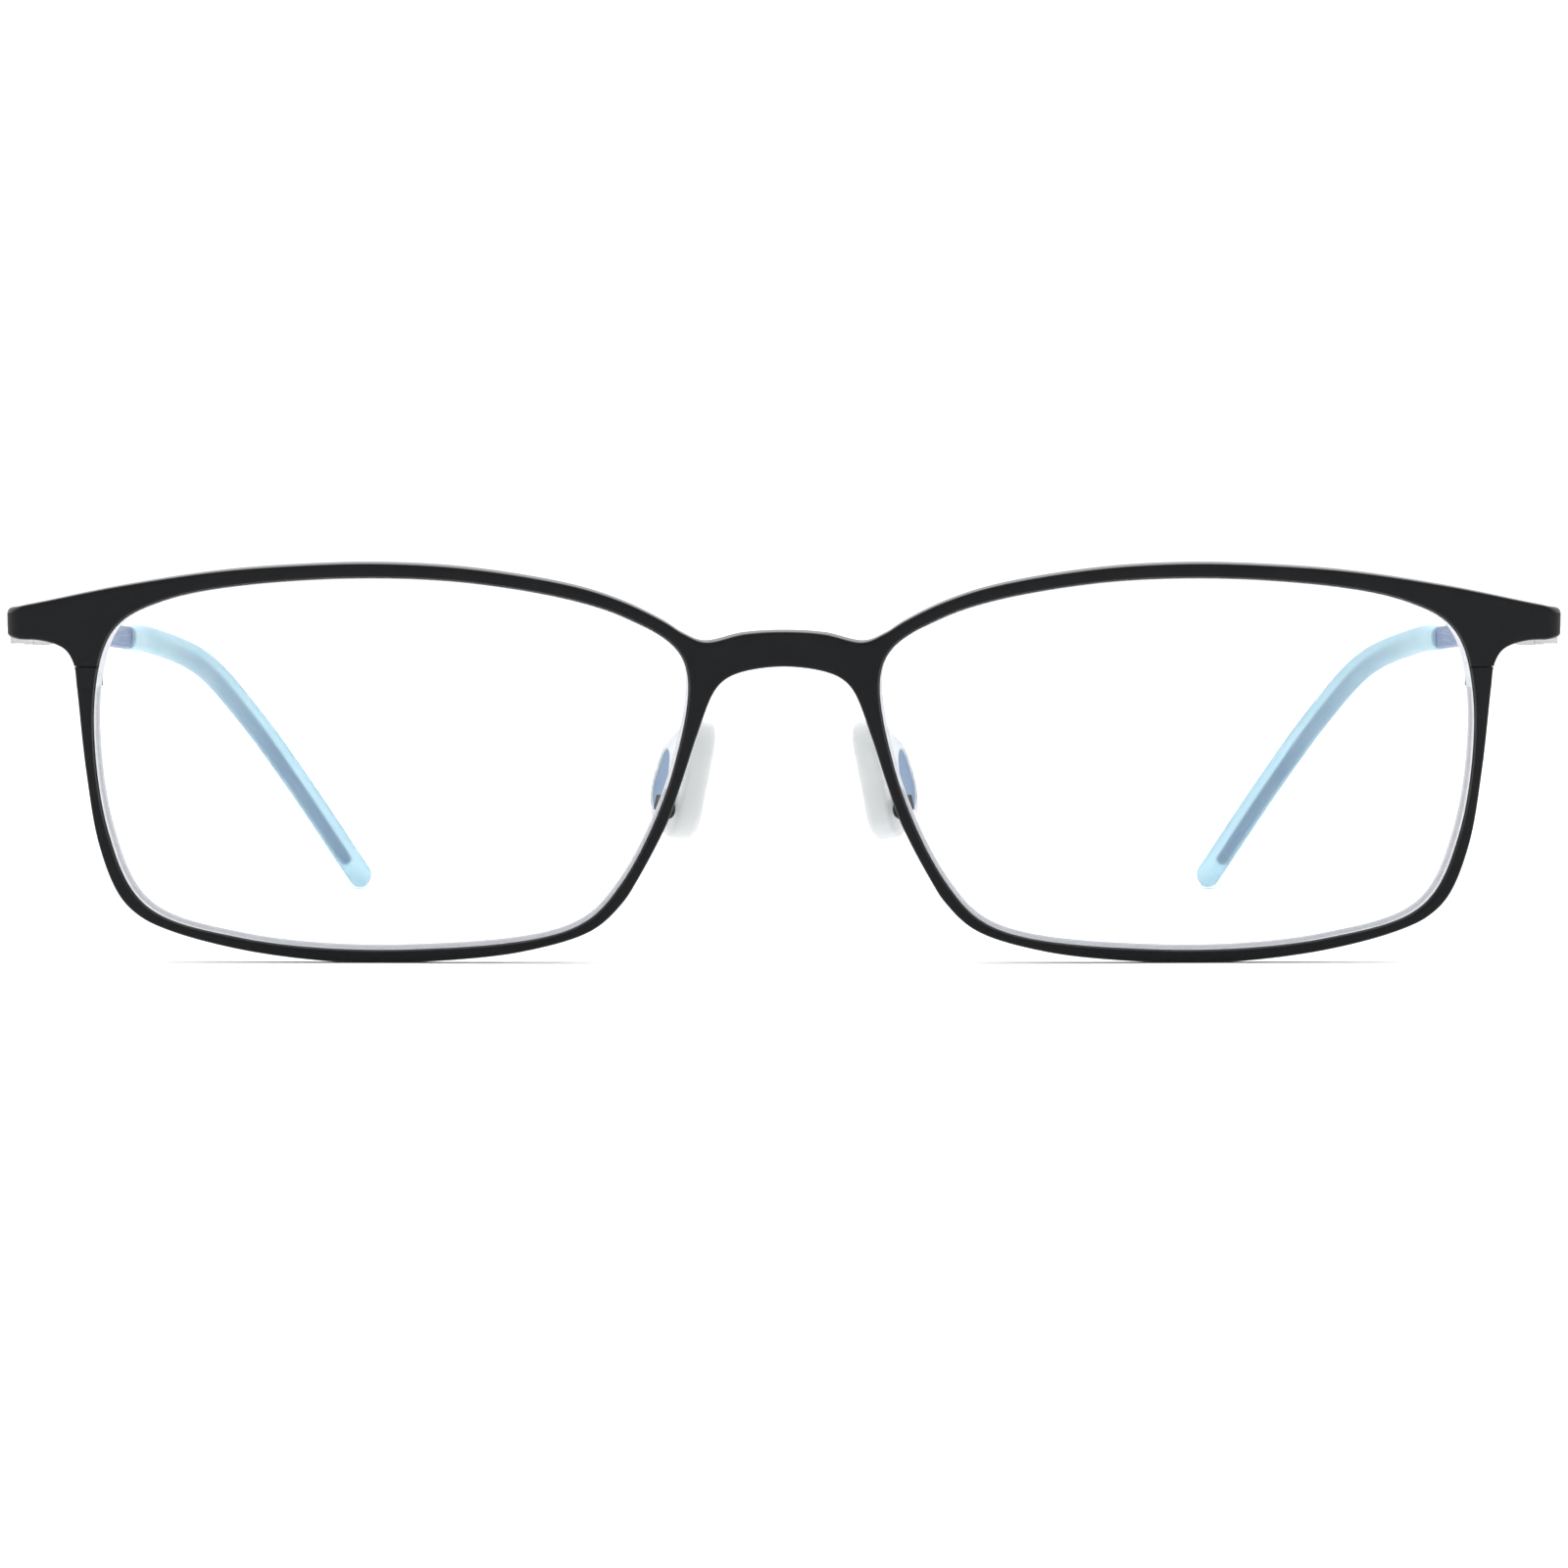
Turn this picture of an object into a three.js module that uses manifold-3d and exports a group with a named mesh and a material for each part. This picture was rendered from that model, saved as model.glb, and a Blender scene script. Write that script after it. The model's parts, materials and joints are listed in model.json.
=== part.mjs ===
// Blue light glasses: a slim black metal front with two clear lenses, adjustable nose pads
// and two folding blue metal temples with translucent tips.
//
// Millimetres, +Z up. +X is the wearer's left, -Y is the way the wearer looks. The origin is on
// the surface that the open glasses stand on, below the middle of their outer box.
import * as THREE from "three";
import { mergeVertices } from "three/addons/utils/BufferGeometryUtils.js";
import Module from "manifold-3d";

const wasm = await Module();
wasm.setup();

// ---------------------------------------------------------------- driving dimensions

// The front is drawn flat, as seen along its own normal: x to the wearer's left, y up from the
// lowest point of the rims. It is a sheet that is curved in plan and tilted as a whole.
const FRONT_TILT = THREE.MathUtils.degToRad(6.5);
const RIM_DEPTH = 1.9;
const END_THICKNESS = 1.4;
const LENS_CENTRE = new THREE.Vector2(35.5, 17.8);
const FACE_RADIUS = 190;
const FACE_ANGLE = THREE.MathUtils.degToRad(1.5);
const BRIDGE_BLEND = 5;

const HALF_WIDTH = 70.6;
const END_BEND_RADIUS = 1.9;
const RETURN_REACH = 9.2;
const END_TOP = 32.1;
const END_BOTTOM = 29.2;
const END_ROUND = 0.8;
const RIM_END = 65.8;
const RETURN_TOP = 32.3;
const RETURN_TRIM_FROM = 2.4;

// Points that the outlines pass through, for the wearer's left half.
const TOP_EDGE = [
  [0, 30.05], [3.6, 29.85], [7.1, 29.15], [9, 29.9], [10.8, 31.05], [14.3, 32.8], [18.8, 34.3],
  [28, 35.9], [36.5, 36.4], [45, 36.1], [51.5, 35.5], [60, 34.1], [69.8, END_TOP],
];
const LOWER_EDGE = [
  [69.9, END_BOTTOM], [67.5, 29.02], [65.9, 28.65], [65, 28.1], [64.35, 26.9], [64.1, 24.8], [63.4, 17.3],
  [62.3, 10.4], [60.5, 5.8], [58.6, 3.9], [55.7, 2.6], [49.1, 1], [41.5, 0.1], [37, 0],
  [32.5, 0.1], [23.7, 1], [17.4, 2.9], [14.7, 5.3], [13.2, 7.6], [10.6, 12.6], [9.3, 16.2],
  [7.9, 20.5], [6.3, 24.6], [5.3, 25.7], [3.7, 26.4], [0, 26.85],
];
const APERTURE = [
  [9.9, 17.8], [14.8, 7], [18.9, 3.2], [33.6, 1.2], [49.4, 2.1], [58.2, 5], [61.5, 11.7],
  [62.5, 24.1], [60.6, 30.2], [56, 32.9], [43.3, 34.9], [27.4, 34.6], [14.3, 31.5], [9, 27.5],
];
const TOP_STEPS = 36;
const LOWER_STEPS = 66;
const APERTURE_STEPS = 64;

const GROOVE_WIDTH = 1;
const GROOVE_DEPTH = 0.5;
const LENS_THICKNESS = 1.4;
const LENS_SETBACK = 0.15;
const LENS_GAP = 0.05;
const BEVEL_HEIGHT = 0.4;
const BEVEL_FOOT = 0.4;
const LENS_CHAMFER = 0.15;
const SPLIT_HEIGHT = 26.7;
const SPLIT_GAP = 0.2;

const BLOCK_WIDTH = 1.9;
const BLOCK_DEPTH = 2.3;
const UPPER_BLOCK = { bottom: 26.85, top: 28.5 };
const LOWER_BLOCK = { bottom: 24.6, top: 26.55 };
const BLOCK_CENTRE_X = 63.3;
const CLOSING_SCREW_RADIUS = 0.5;
const CLOSING_HEAD_RADIUS = 0.85;
const CLOSING_HEAD_HEIGHT = 0.45;
const SOLDER_GAP = 0.12;

// The hinge frame: origin at the middle of the hinge, on its axis, axes as the whole object's.
const HINGE_AT = new THREE.Vector3(68, 6, 30.6);
const HINGE_HEIGHT = 3.5;
const KNUCKLE_RADIUS = 1.15;
const MIDDLE_KNUCKLE = 1.1;
const KNUCKLE_GAP = 0.05;
const HINGE_BORE = 0.55;
const HINGE_SCREW_RADIUS = 0.5;
const HINGE_HEAD_RADIUS = 0.8;
const HINGE_HEAD_DEPTH = 0.45;
const LEAF_INNER_X = 0.3;
const LEAF_OUTER_X = 1.15;
const LEAF_REACH = 3.5;
const LEAF_CLEAR = 1.3;
const LIP = { outer: 2.4, top: -1, bottom: -1.66, end: -0.5 };
const TONGUE = { reach: -2.1, depth: 0.8, setback: 0.1, bottom: -1.92 };

// The temple's centre line in the hinge frame, with the fold open.
const BLADE_THICKNESS = 1.3;
const BLADE_FRONT_HEIGHT = 2.5;
const BLADE_REAR_HEIGHT = 2.3;
const BLADE_START = new THREE.Vector3(1.9, 0.1, 0.4);
const BLADE_END = new THREE.Vector3(1.6, 79, -1.7);
const TIP_LINE = [
  [0.1, 88, -2.05], [-4.4, 99.3, -4.8], [-8.7, 107.6, -10.7], [-13.3, 114.9, -18.2],
  [-20.1, 124.8, -30.05],
].map((point) => new THREE.Vector3(...point));
const TIP_START = BLADE_END.y;
const CORE_WIDTH = 0.9;
const CORE_HEIGHT = 1.4;
const CORE_END_SHARE = 0.97;
const CORE_SHIFT = { out: 0.22, up: -0.28 };
const SHOULDER_SHARE = 0.0003;
const TIP_GAP = 0.05;
const TIP_THICKNESS = 2.3;
const TIP_HEIGHT = 2.75;

// The pad frame: x away from the nose, y from the pad's front edge to its rear, z up the pad.
const PAD_CENTRE = new THREE.Vector3(9.4, 8.2, 16.4);
const PAD_SPLAY = THREE.MathUtils.degToRad(24);
const PAD_LEAN = THREE.MathUtils.degToRad(12);
const PAD_OUTLINE = [
  [-4.1, -0.5], [-4, -4.2], [-2.7, -5.5], [0.2, -4.8], [2.6, -3.7], [3.5, -2.2], [3.75, -0.8],
  [3.4, 1.4], [2.7, 2.9], [0.3, 4.4], [-2.6, 5.7], [-3.9, 4.3],
];
// The core is an upright bar near the pad's rear edge, with a foot forward to the stem.
const CORE_OUTLINE = [
  [0.2, 0.3], [-0.6, -1.2], [-2, -1.7], [-2.5, -2.6], [-1.8, -3.4], [0.4, -3.4], [2.2, -2.9],
  [2.85, -2], [3.1, -0.8], [2.7, 1.1], [2.3, 2.1], [1.7, 2.5], [1, 2.2], [0.55, 1.5],
];
const PAD_THICKNESS = 2.9;
const PAD_ROUND = 0.7;
const POCKET_DEPTH = 0.9;
const POCKET_GAP = 0.08;
const CORE_PLATE_THICKNESS = 0.7;
const PAD_GAP = 0.06;
const STEM = { width: 0.6, height: 0.8, end: 2.35, y: -1.9, z: -2.6 };
const STEM_PLAY = 0.1;
const PIN_X = 2;
const PIN_RADIUS = 0.18;
const PIN_HEAD = 0.36;
const BOX_CHEEK = 0.3;
const BOX_START = 1.66;
const BOX_END = 2.75;
const BOX_HEIGHT = 1.4;
const ARM_RADIUS = 0.4;
const ARM_FOOT = [11.2, 12.8];

const MATERIALS = {
  frameBlack: { color: 0x26272a, roughness: 0.55, metalness: 0.3 },
  lens: { color: 0xf2f4fa, roughness: 0.02, metalness: 0, transparent: true, opacity: 0.25 },
  silver: { color: 0xc9cbce, roughness: 0.3, metalness: 1 },
  templeBlue: { color: 0x6f93c4, roughness: 0.35, metalness: 0.8 },
  tipAqua: { color: 0xbfe3ea, roughness: 0.45, metalness: 0, transparent: true, opacity: 0.7 },
  padWhite: { color: 0xe9eef0, roughness: 0.5, metalness: 0, transparent: true, opacity: 0.85 },
};

// ---------------------------------------------------------------- solids and joins

// A closed geometry as a solid that can be joined to others or cut by them.
function solidOf(geometry) {
  const bare = geometry.clone();
  bare.deleteAttribute("normal");
  bare.deleteAttribute("uv");
  const merged = mergeVertices(bare, 1e-4);
  return new wasm.Manifold(
    new wasm.Mesh({
      numProp: 3,
      vertProperties: new Float32Array(merged.attributes.position.array),
      triVerts: new Uint32Array(merged.index.array),
    }),
  );
}

function geometryOf(solid) {
  const mesh = solid.getMesh();
  const positions = new THREE.BufferAttribute(new Float32Array(mesh.vertProperties), mesh.numProp);
  const flat = new THREE.BufferGeometry()
    .setAttribute("position", positions)
    .setIndex(new THREE.BufferAttribute(new Uint32Array(mesh.triVerts), 1))
    .toNonIndexed();
  flat.computeVertexNormals();
  return flat;
}

function join(first, ...others) {
  const joined = others.reduce((sum, other) => sum.add(solidOf(other)), solidOf(first));
  return geometryOf(joined);
}

function cut(from, ...tools) {
  const left = tools.reduce((rest, tool) => rest.subtract(solidOf(tool)), solidOf(from));
  return geometryOf(left);
}

function common(a, b) {
  return geometryOf(solidOf(a).intersect(solidOf(b)));
}

function piece(name, geometry, material) {
  const mesh = new THREE.Mesh(geometry, new THREE.MeshStandardMaterial(MATERIALS[material]));
  mesh.name = name;
  return mesh;
}

function box(minimum, maximum) {
  const size = maximum.map((high, axis) => high - minimum[axis]);
  const middle = maximum.map((high, axis) => (high + minimum[axis]) / 2);
  return new THREE.BoxGeometry(...size).translate(...middle);
}

// A round bar along z.
function bar(radius, bottom, top, sides = 20) {
  const height = top - bottom;
  return new THREE.CylinderGeometry(radius, radius, height, sides)
    .rotateX(Math.PI / 2)
    .translate(0, 0, bottom + height / 2);
}

// A screw along z with a slotted head. The shank ends at z = 0 and the head is at the top.
function screw(shankRadius, shankLength, headRadius, headHeight) {
  const slotWidth = headRadius * 0.3;
  const slotDepth = headHeight * 0.5;
  const top = shankLength + headHeight;
  const profile = [
    [0, 0], [shankRadius * 0.8, 0], [shankRadius, shankRadius * 0.2], [shankRadius, shankLength],
    [headRadius, shankLength], [headRadius, top - headHeight * 0.25],
    [headRadius * 0.85, top], [0, top],
  ].map(([radius, height]) => new THREE.Vector2(radius, height));
  const turned = new THREE.LatheGeometry(profile, 16).rotateX(Math.PI / 2);
  const slotReach = headRadius * 1.1;
  const slot = box([-slotReach, -slotWidth / 2, top - slotDepth], [slotReach, slotWidth / 2, top + 1]);
  return cut(turned, slot);
}

// ---------------------------------------------------------------- outlines of the front

// Evenly spaced points along a smooth curve through the given ones.
function smooth(points, steps, closed = false) {
  const knots = points.map(([x, y]) => new THREE.Vector3(x, y, 0));
  const curve = new THREE.CatmullRomCurve3(knots, closed, "centripetal");
  const spaced = curve.getSpacedPoints(steps).map(({ x, y }) => new THREE.Vector2(x, y));
  return closed ? spaced.slice(0, -1) : spaced;
}

// The same for half an outline that starts on the middle line and crosses it square.
function smoothFromMiddle(points, steps) {
  const otherHalf = points.slice(1).reverse().map(([x, y]) => [-x, y]);
  return smooth([...otherHalf, ...points], 2 * steps).slice(steps);
}

// How far behind its foremost line the front surface lies at x.
function faceDepth(x) {
  const along = Math.hypot(x, BRIDGE_BLEND) - LENS_CENTRE.x;
  return FACE_ANGLE * along + (along * along) / (2 * FACE_RADIUS);
}

function faceSlope(x) {
  const step = 0.01;
  return Math.atan((faceDepth(x + step) - faceDepth(x - step)) / (2 * step));
}

function frontOutline() {
  const top = smoothFromMiddle(TOP_EDGE, TOP_STEPS);
  const lower = smoothFromMiddle([...LOWER_EDGE].reverse(), LOWER_STEPS).reverse();
  const outside = HALF_WIDTH + 0.1;
  const corner = new THREE.QuadraticBezierCurve(
    top.at(-1),
    new THREE.Vector2(outside, END_TOP - 0.1),
    new THREE.Vector2(outside, END_TOP - END_ROUND),
  ).getPoints(5);
  const half = [...top, ...corner.slice(1), new THREE.Vector2(outside, END_BOTTOM + 0.3), ...lower];
  const mirrored = half.slice(1, -1).reverse().map(({ x, y }) => new THREE.Vector2(-x, y));
  return [...half, ...mirrored];
}

// The sheet in plan: x across, y back. It bends round at each end and returns towards the wearer.
function frontPlan() {
  const bendSlope = faceSlope(HALF_WIDTH - END_BEND_RADIUS);
  const bendStart = HALF_WIDTH - END_BEND_RADIUS * (1 - Math.sin(bendSlope));
  const bendCentre = new THREE.Vector2(
    HALF_WIDTH - END_BEND_RADIUS,
    faceDepth(bendStart) + END_BEND_RADIUS * Math.cos(bendSlope),
  );
  const arc = (radius) => {
    const steps = 7;
    return Array.from({ length: steps + 1 }, (_, i) => {
      const turn = bendSlope + ((Math.PI / 2 - bendSlope) * i) / steps;
      return new THREE.Vector2(
        bendCentre.x + radius * Math.sin(turn),
        bendCentre.y - radius * Math.cos(turn),
      );
    });
  };
  const steps = 21;
  const stations = Array.from({ length: steps }, (_, i) => (bendStart * i) / steps);
  const front = stations.map((x) => new THREE.Vector2(x, faceDepth(x)));
  const back = stations
    .filter((x) => x < RIM_END)
    .map((x) => {
      const inward = RIM_DEPTH * Math.sin(faceSlope(x));
      return new THREE.Vector2(x - inward, faceDepth(x) + RIM_DEPTH);
    });
  const half = [
    ...front,
    ...arc(END_BEND_RADIUS),
    new THREE.Vector2(HALF_WIDTH, RETURN_REACH),
    new THREE.Vector2(HALF_WIDTH - END_THICKNESS, RETURN_REACH),
    ...arc(END_BEND_RADIUS - END_THICKNESS).reverse(),
    ...back.reverse(),
  ];
  const mirrored = half.slice(1, -1).reverse().map(({ x, y }) => new THREE.Vector2(-x, y));
  return new THREE.Shape([...half, ...mirrored]);
}

// A ring of the given section that follows the aperture. A section point is how far it lies
// outside the aperture and how far behind the front surface.
function apertureRing(section) {
  const outline = smooth(APERTURE, APERTURE_STEPS, true);
  const count = outline.length;
  const profile = section.map(([outward, behind]) => new THREE.Vector2(10 + outward, behind));
  const ring = new THREE.LatheGeometry(profile, count);
  const positions = ring.getAttribute("position");
  for (let index = 0; index < positions.count; index++) {
    const step = (count - Math.floor(index / section.length)) % count;
    const [outward, behind] = section[index % section.length];
    const here = outline[step];
    const along = outline[(step + 1) % count].clone().sub(outline[(step + count - 1) % count]);
    const outside = new THREE.Vector2(along.y, -along.x).normalize();
    const spot = outward === null ? LENS_CENTRE : here.clone().addScaledVector(outside, outward);
    positions.setXYZ(index, spot.x, faceDepth(spot.x) + behind, spot.y);
  }
  return ring;
}

// ---------------------------------------------------------------- front frame and lenses

function frontFrame() {
  const outline = new THREE.Shape(frontOutline());
  const aperture = smooth(APERTURE, APERTURE_STEPS, true);
  outline.holes.push(new THREE.Path(aperture));
  outline.holes.push(new THREE.Path(aperture.map(({ x, y }) => new THREE.Vector2(-x, y)).reverse()));
  const reach = 40;
  const prism = new THREE.ExtrudeGeometry(outline, { depth: reach, bevelEnabled: false })
    .rotateX(Math.PI / 2)
    .translate(0, reach / 2, 0);
  const margin = 10;
  const height = 2 * LENS_CENTRE.y + 2 * margin;
  const slab = new THREE.ExtrudeGeometry(frontPlan(), { depth: height, bevelEnabled: false })
    .translate(0, 0, -margin);
  const middle = RIM_DEPTH / 2;
  const mouth = GROOVE_WIDTH / 2;
  const groove = apertureRing([
    [-0.4, middle - mouth * 1.8], [GROOVE_DEPTH, middle], [-0.4, middle + mouth * 1.8],
    [-0.4, middle - mouth * 1.8],
  ]);
  const split = box(
    [BLOCK_CENTRE_X - 2.5, 0, SPLIT_HEIGHT - SPLIT_GAP / 2],
    [BLOCK_CENTRE_X + 2.2, 8, SPLIT_HEIGHT + SPLIT_GAP / 2],
  );
  // The return's top is level, so that it meets the temple's.
  const trim = box([BLOCK_CENTRE_X, RETURN_TRIM_FROM, RETURN_TOP], [HALF_WIDTH + 1, 15, RETURN_TOP + 5])
    .rotateX(-FRONT_TILT);
  const tools = [groove, split, trim];
  const mirrored = tools.map((tool) => mirror(tool));
  return cut(common(prism, slab), ...tools, ...mirrored);
}

// The same geometry on the other side of the nose, with its faces turned to look out again.
function mirror(geometry) {
  const flipped = geometry.index ? geometry.toNonIndexed() : geometry.clone();
  flipped.scale(-1, 1, 1);
  const positions = flipped.getAttribute("position");
  const corner = new THREE.Vector3();
  const other = new THREE.Vector3();
  for (let first = 0; first < positions.count; first += 3) {
    corner.fromBufferAttribute(positions, first + 1);
    other.fromBufferAttribute(positions, first + 2);
    positions.setXYZ(first + 1, ...other);
    positions.setXYZ(first + 2, ...corner);
  }
  return flipped;
}

// A lens is a dished sheet with a V-shaped bevel round its edge.
function lens() {
  const front = LENS_SETBACK;
  const back = LENS_SETBACK + LENS_THICKNESS;
  const ridge = RIM_DEPTH / 2;
  return apertureRing([
    [null, front], [-9, front], [-LENS_GAP, front], [-LENS_GAP, ridge - BEVEL_FOOT],
    [BEVEL_HEIGHT, ridge], [-LENS_GAP, ridge + BEVEL_FOOT], [-LENS_GAP, back - LENS_CHAMFER],
    [-LENS_GAP - LENS_CHAMFER, back], [-9, back], [null, back],
  ]);
}

// ---------------------------------------------------------------- rim closing

// A small block soldered behind the rim, with an upright hole for the closing screw.
function closingBlock({ bottom, top }) {
  const plan = new THREE.Shape();
  const halfWidth = BLOCK_WIDTH / 2;
  const round = 0.7;
  plan.moveTo(-halfWidth, 0);
  plan.lineTo(halfWidth, 0);
  plan.lineTo(halfWidth, BLOCK_DEPTH - round);
  plan.absarc(halfWidth - round, BLOCK_DEPTH - round, round, 0, Math.PI / 2);
  plan.lineTo(-halfWidth + round, BLOCK_DEPTH);
  plan.absarc(-halfWidth + round, BLOCK_DEPTH - round, round, Math.PI / 2, Math.PI);
  const holeRadius = CLOSING_SCREW_RADIUS + KNUCKLE_GAP;
  plan.holes.push(new THREE.Path().absarc(0, BLOCK_DEPTH / 2, holeRadius, 0, Math.PI * 2));
  const options = { depth: top - bottom, bevelEnabled: false, curveSegments: 5 };
  return new THREE.ExtrudeGeometry(plan, options).translate(0, 0, bottom);
}

function rimClosing(side) {
  const group = new THREE.Group();
  const slope = faceSlope(BLOCK_CENTRE_X);
  group.position.set(BLOCK_CENTRE_X, faceDepth(BLOCK_CENTRE_X) + RIM_DEPTH + SOLDER_GAP, 0);
  group.rotation.z = slope;
  group.add(piece("closing_block_upper_" + side, closingBlock(UPPER_BLOCK), "frameBlack"));
  group.add(piece("closing_block_lower_" + side, closingBlock(LOWER_BLOCK), "frameBlack"));

  // The screw goes in from below, so its head bears on the lower block.
  const headGap = 0.03;
  const screwTop = UPPER_BLOCK.top - 0.3;
  const length = screwTop - LOWER_BLOCK.bottom + headGap;
  const closingScrew = piece(
    "closing_screw_" + side,
    screw(CLOSING_SCREW_RADIUS, length, CLOSING_HEAD_RADIUS, CLOSING_HEAD_HEIGHT),
    "silver",
  );
  closingScrew.position.set(0, BLOCK_DEPTH / 2, screwTop);
  closingScrew.rotation.x = Math.PI;
  group.add(closingScrew);
  return group;
}

// ---------------------------------------------------------------- swept bodies

// The way out and the way up of a body that runs along a curve.
function frameAt(curve, share) {
  const centre = curve.getPointAt(share);
  const forward = curve.getTangentAt(share);
  const out = new THREE.Vector3().crossVectors(forward, new THREE.Vector3(0, 0, 1)).normalize();
  const up = new THREE.Vector3().crossVectors(out, forward).normalize();
  return { centre, out, up };
}

// A closed body through a list of stations along a curve. A station says where it is, as a share
// of the curve's length, how far the section reaches out and up, and how far it is shifted off
// the curve. A squareness of 2 is round, and a larger one nears a rectangle.
function sweep(curve, stations, sides, squareness = 2) {
  const rings = stations.length - 1;
  const tube = new THREE.CylinderGeometry(1, 1, 1, sides, rings, false, Math.PI / sides);
  const positions = tube.getAttribute("position");
  const soften = (value) => Math.sign(value) * Math.abs(value) ** (2 / squareness);
  for (let index = 0; index < positions.count; index++) {
    const station = stations[Math.round((positions.getY(index) + 0.5) * rings)];
    const { centre, out, up } = frameAt(curve, station.share);
    const spot = centre
      .addScaledVector(out, soften(positions.getX(index)) * station.out + (station.shiftOut ?? 0))
      .addScaledVector(up, soften(positions.getZ(index)) * station.up + (station.shiftUp ?? 0));
    positions.setXYZ(index, ...spot);
  }
  return tube;
}

function stationsBetween(from, to, count, sizeAt) {
  return Array.from({ length: count + 1 }, (_, i) => {
    const share = from + ((to - from) * i) / count;
    return { share, ...sizeAt(i / count) };
  });
}

// ---------------------------------------------------------------- temples

const bladeLine = [0, 0.33, 0.66, 1].map((share) => BLADE_START.clone().lerp(BLADE_END, share));
const templeLine = new THREE.CatmullRomCurve3([...bladeLine, ...TIP_LINE], false, "centripetal");
templeLine.arcLengthDivisions = 400;

// The share of the temple's length at which it has gone back by a given distance.
function shareAtDepth(depth) {
  let low = 0;
  let high = 1;
  for (let round = 0; round < 40; round++) {
    const middle = (low + high) / 2;
    if (templeLine.getPointAt(middle).y < depth) low = middle;
    else high = middle;
  }
  return low;
}

const tipShare = shareAtDepth(TIP_START);

function coreStations(extra) {
  const start = tipShare + SHOULDER_SHARE;
  return stationsBetween(start, CORE_END_SHARE + extra * 0.01, 14, (along) => ({
    out: CORE_WIDTH / 2 + extra,
    up: (CORE_HEIGHT / 2) * (1 - 0.35 * along) + extra,
    shiftOut: CORE_SHIFT.out * Math.min(1, along * 3.5),
    shiftUp: CORE_SHIFT.up * Math.min(1, along * 3.5),
  }));
}

// The blade narrows a little towards the rear and runs on as a thin core inside the tip, where it
// lies nearer to the outer and lower side.
function temple() {
  const blade = stationsBetween(0, tipShare, 8, (along) => ({
    out: BLADE_THICKNESS / 2,
    up: THREE.MathUtils.lerp(BLADE_FRONT_HEIGHT, BLADE_REAR_HEIGHT, along) / 2,
  }));
  return sweep(templeLine, [...blade, ...coreStations(0)], 8, 6);
}

function templeTip() {
  const roundEnd = 0.985;
  const start = tipShare + 4 * SHOULDER_SHARE;
  const sleeve = stationsBetween(start, roundEnd, 18, (along) => ({
    out: (TIP_THICKNESS / 2) * (0.92 + 0.08 * Math.min(1, along * 5)),
    up: (TIP_HEIGHT / 2) * (0.92 + 0.08 * Math.min(1, along * 5)),
  }));
  const cap = stationsBetween(roundEnd, 1, 3, (along) => ({
    out: (TIP_THICKNESS / 2) * Math.sqrt(1 - 0.75 * along * along),
    up: (TIP_HEIGHT / 2) * Math.sqrt(1 - 0.75 * along * along),
  })).slice(1);
  const outside = sweep(templeLine, [...sleeve, ...cap], 12, 2.4);
  const mouth = { ...coreStations(TIP_GAP)[0], share: tipShare - 0.004 };
  const hollow = sweep(templeLine, [mouth, ...coreStations(TIP_GAP)], 8, 6);
  return cut(outside, hollow);
}

// ---------------------------------------------------------------- hinges

function knuckle(bottom, top) {
  return bar(KNUCKLE_RADIUS, bottom, top);
}

// A thin strip along the endpiece's lower edge, from the leaf's plate towards the rim.
function tongue() {
  const side = new THREE.Shape();
  side.moveTo(LEAF_OUTER_X, LIP.top);
  side.lineTo(TONGUE.reach, LIP.top);
  side.quadraticCurveTo(TONGUE.reach, TONGUE.bottom, 0, TONGUE.bottom + 0.1);
  side.lineTo(LEAF_OUTER_X, LIP.bottom);
  return new THREE.ExtrudeGeometry(side, { depth: TONGUE.depth, bevelEnabled: false, curveSegments: 6 })
    .rotateX(Math.PI / 2)
    .translate(0, -LEAF_REACH + TONGUE.setback + TONGUE.depth, 0);
}

// Fixed inside the endpiece's return: a plate with a lip under the return, a tongue, and a lug and
// knuckle above and below.
function frontLeaf() {
  const half = HINGE_HEIGHT / 2;
  const inner = MIDDLE_KNUCKLE / 2 + KNUCKLE_GAP;
  const plate = box([LEAF_INNER_X, -LEAF_REACH, -half], [LEAF_OUTER_X, -LEAF_CLEAR, half]);
  const lip = box([LEAF_OUTER_X - 0.2, -LEAF_REACH, LIP.bottom], [LIP.outer, LIP.end, LIP.top]);
  const lugs = [[-half, -inner], [inner, half]].flatMap(([bottom, top]) => [
    box([LEAF_INNER_X, -LEAF_CLEAR - 0.1, bottom], [LEAF_OUTER_X, 0, top]),
    knuckle(bottom, top),
  ]);
  const bore = bar(HINGE_BORE, -half - 1, half + 1);
  const counterbore = bar(HINGE_HEAD_RADIUS + KNUCKLE_GAP, half - HINGE_HEAD_DEPTH, half + 1);
  return cut(join(plate, lip, tongue(), ...lugs), bore, counterbore);
}

// Fixed inside the temple: one knuckle between the front leaf's two, and a plate behind it.
function templeLeaf() {
  const half = MIDDLE_KNUCKLE / 2;
  const web = box([LEAF_INNER_X, 0, -half], [LEAF_OUTER_X, LEAF_CLEAR + 0.3, half]);
  const plate = box([LEAF_INNER_X, LEAF_CLEAR + 0.1, -half], [LEAF_OUTER_X, LEAF_REACH + 2.3, 1.35]);
  const bore = bar(HINGE_BORE, -half - 1, half + 1);
  return cut(join(web, plate, knuckle(-half, half)), bore);
}

function hingeScrew() {
  const length = HINGE_HEIGHT - HINGE_HEAD_DEPTH + 0.02;
  const headHeight = HINGE_HEAD_DEPTH - 0.06;
  return screw(HINGE_SCREW_RADIUS, length, HINGE_HEAD_RADIUS, headHeight)
    .translate(0, 0, -HINGE_HEIGHT / 2);
}

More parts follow.
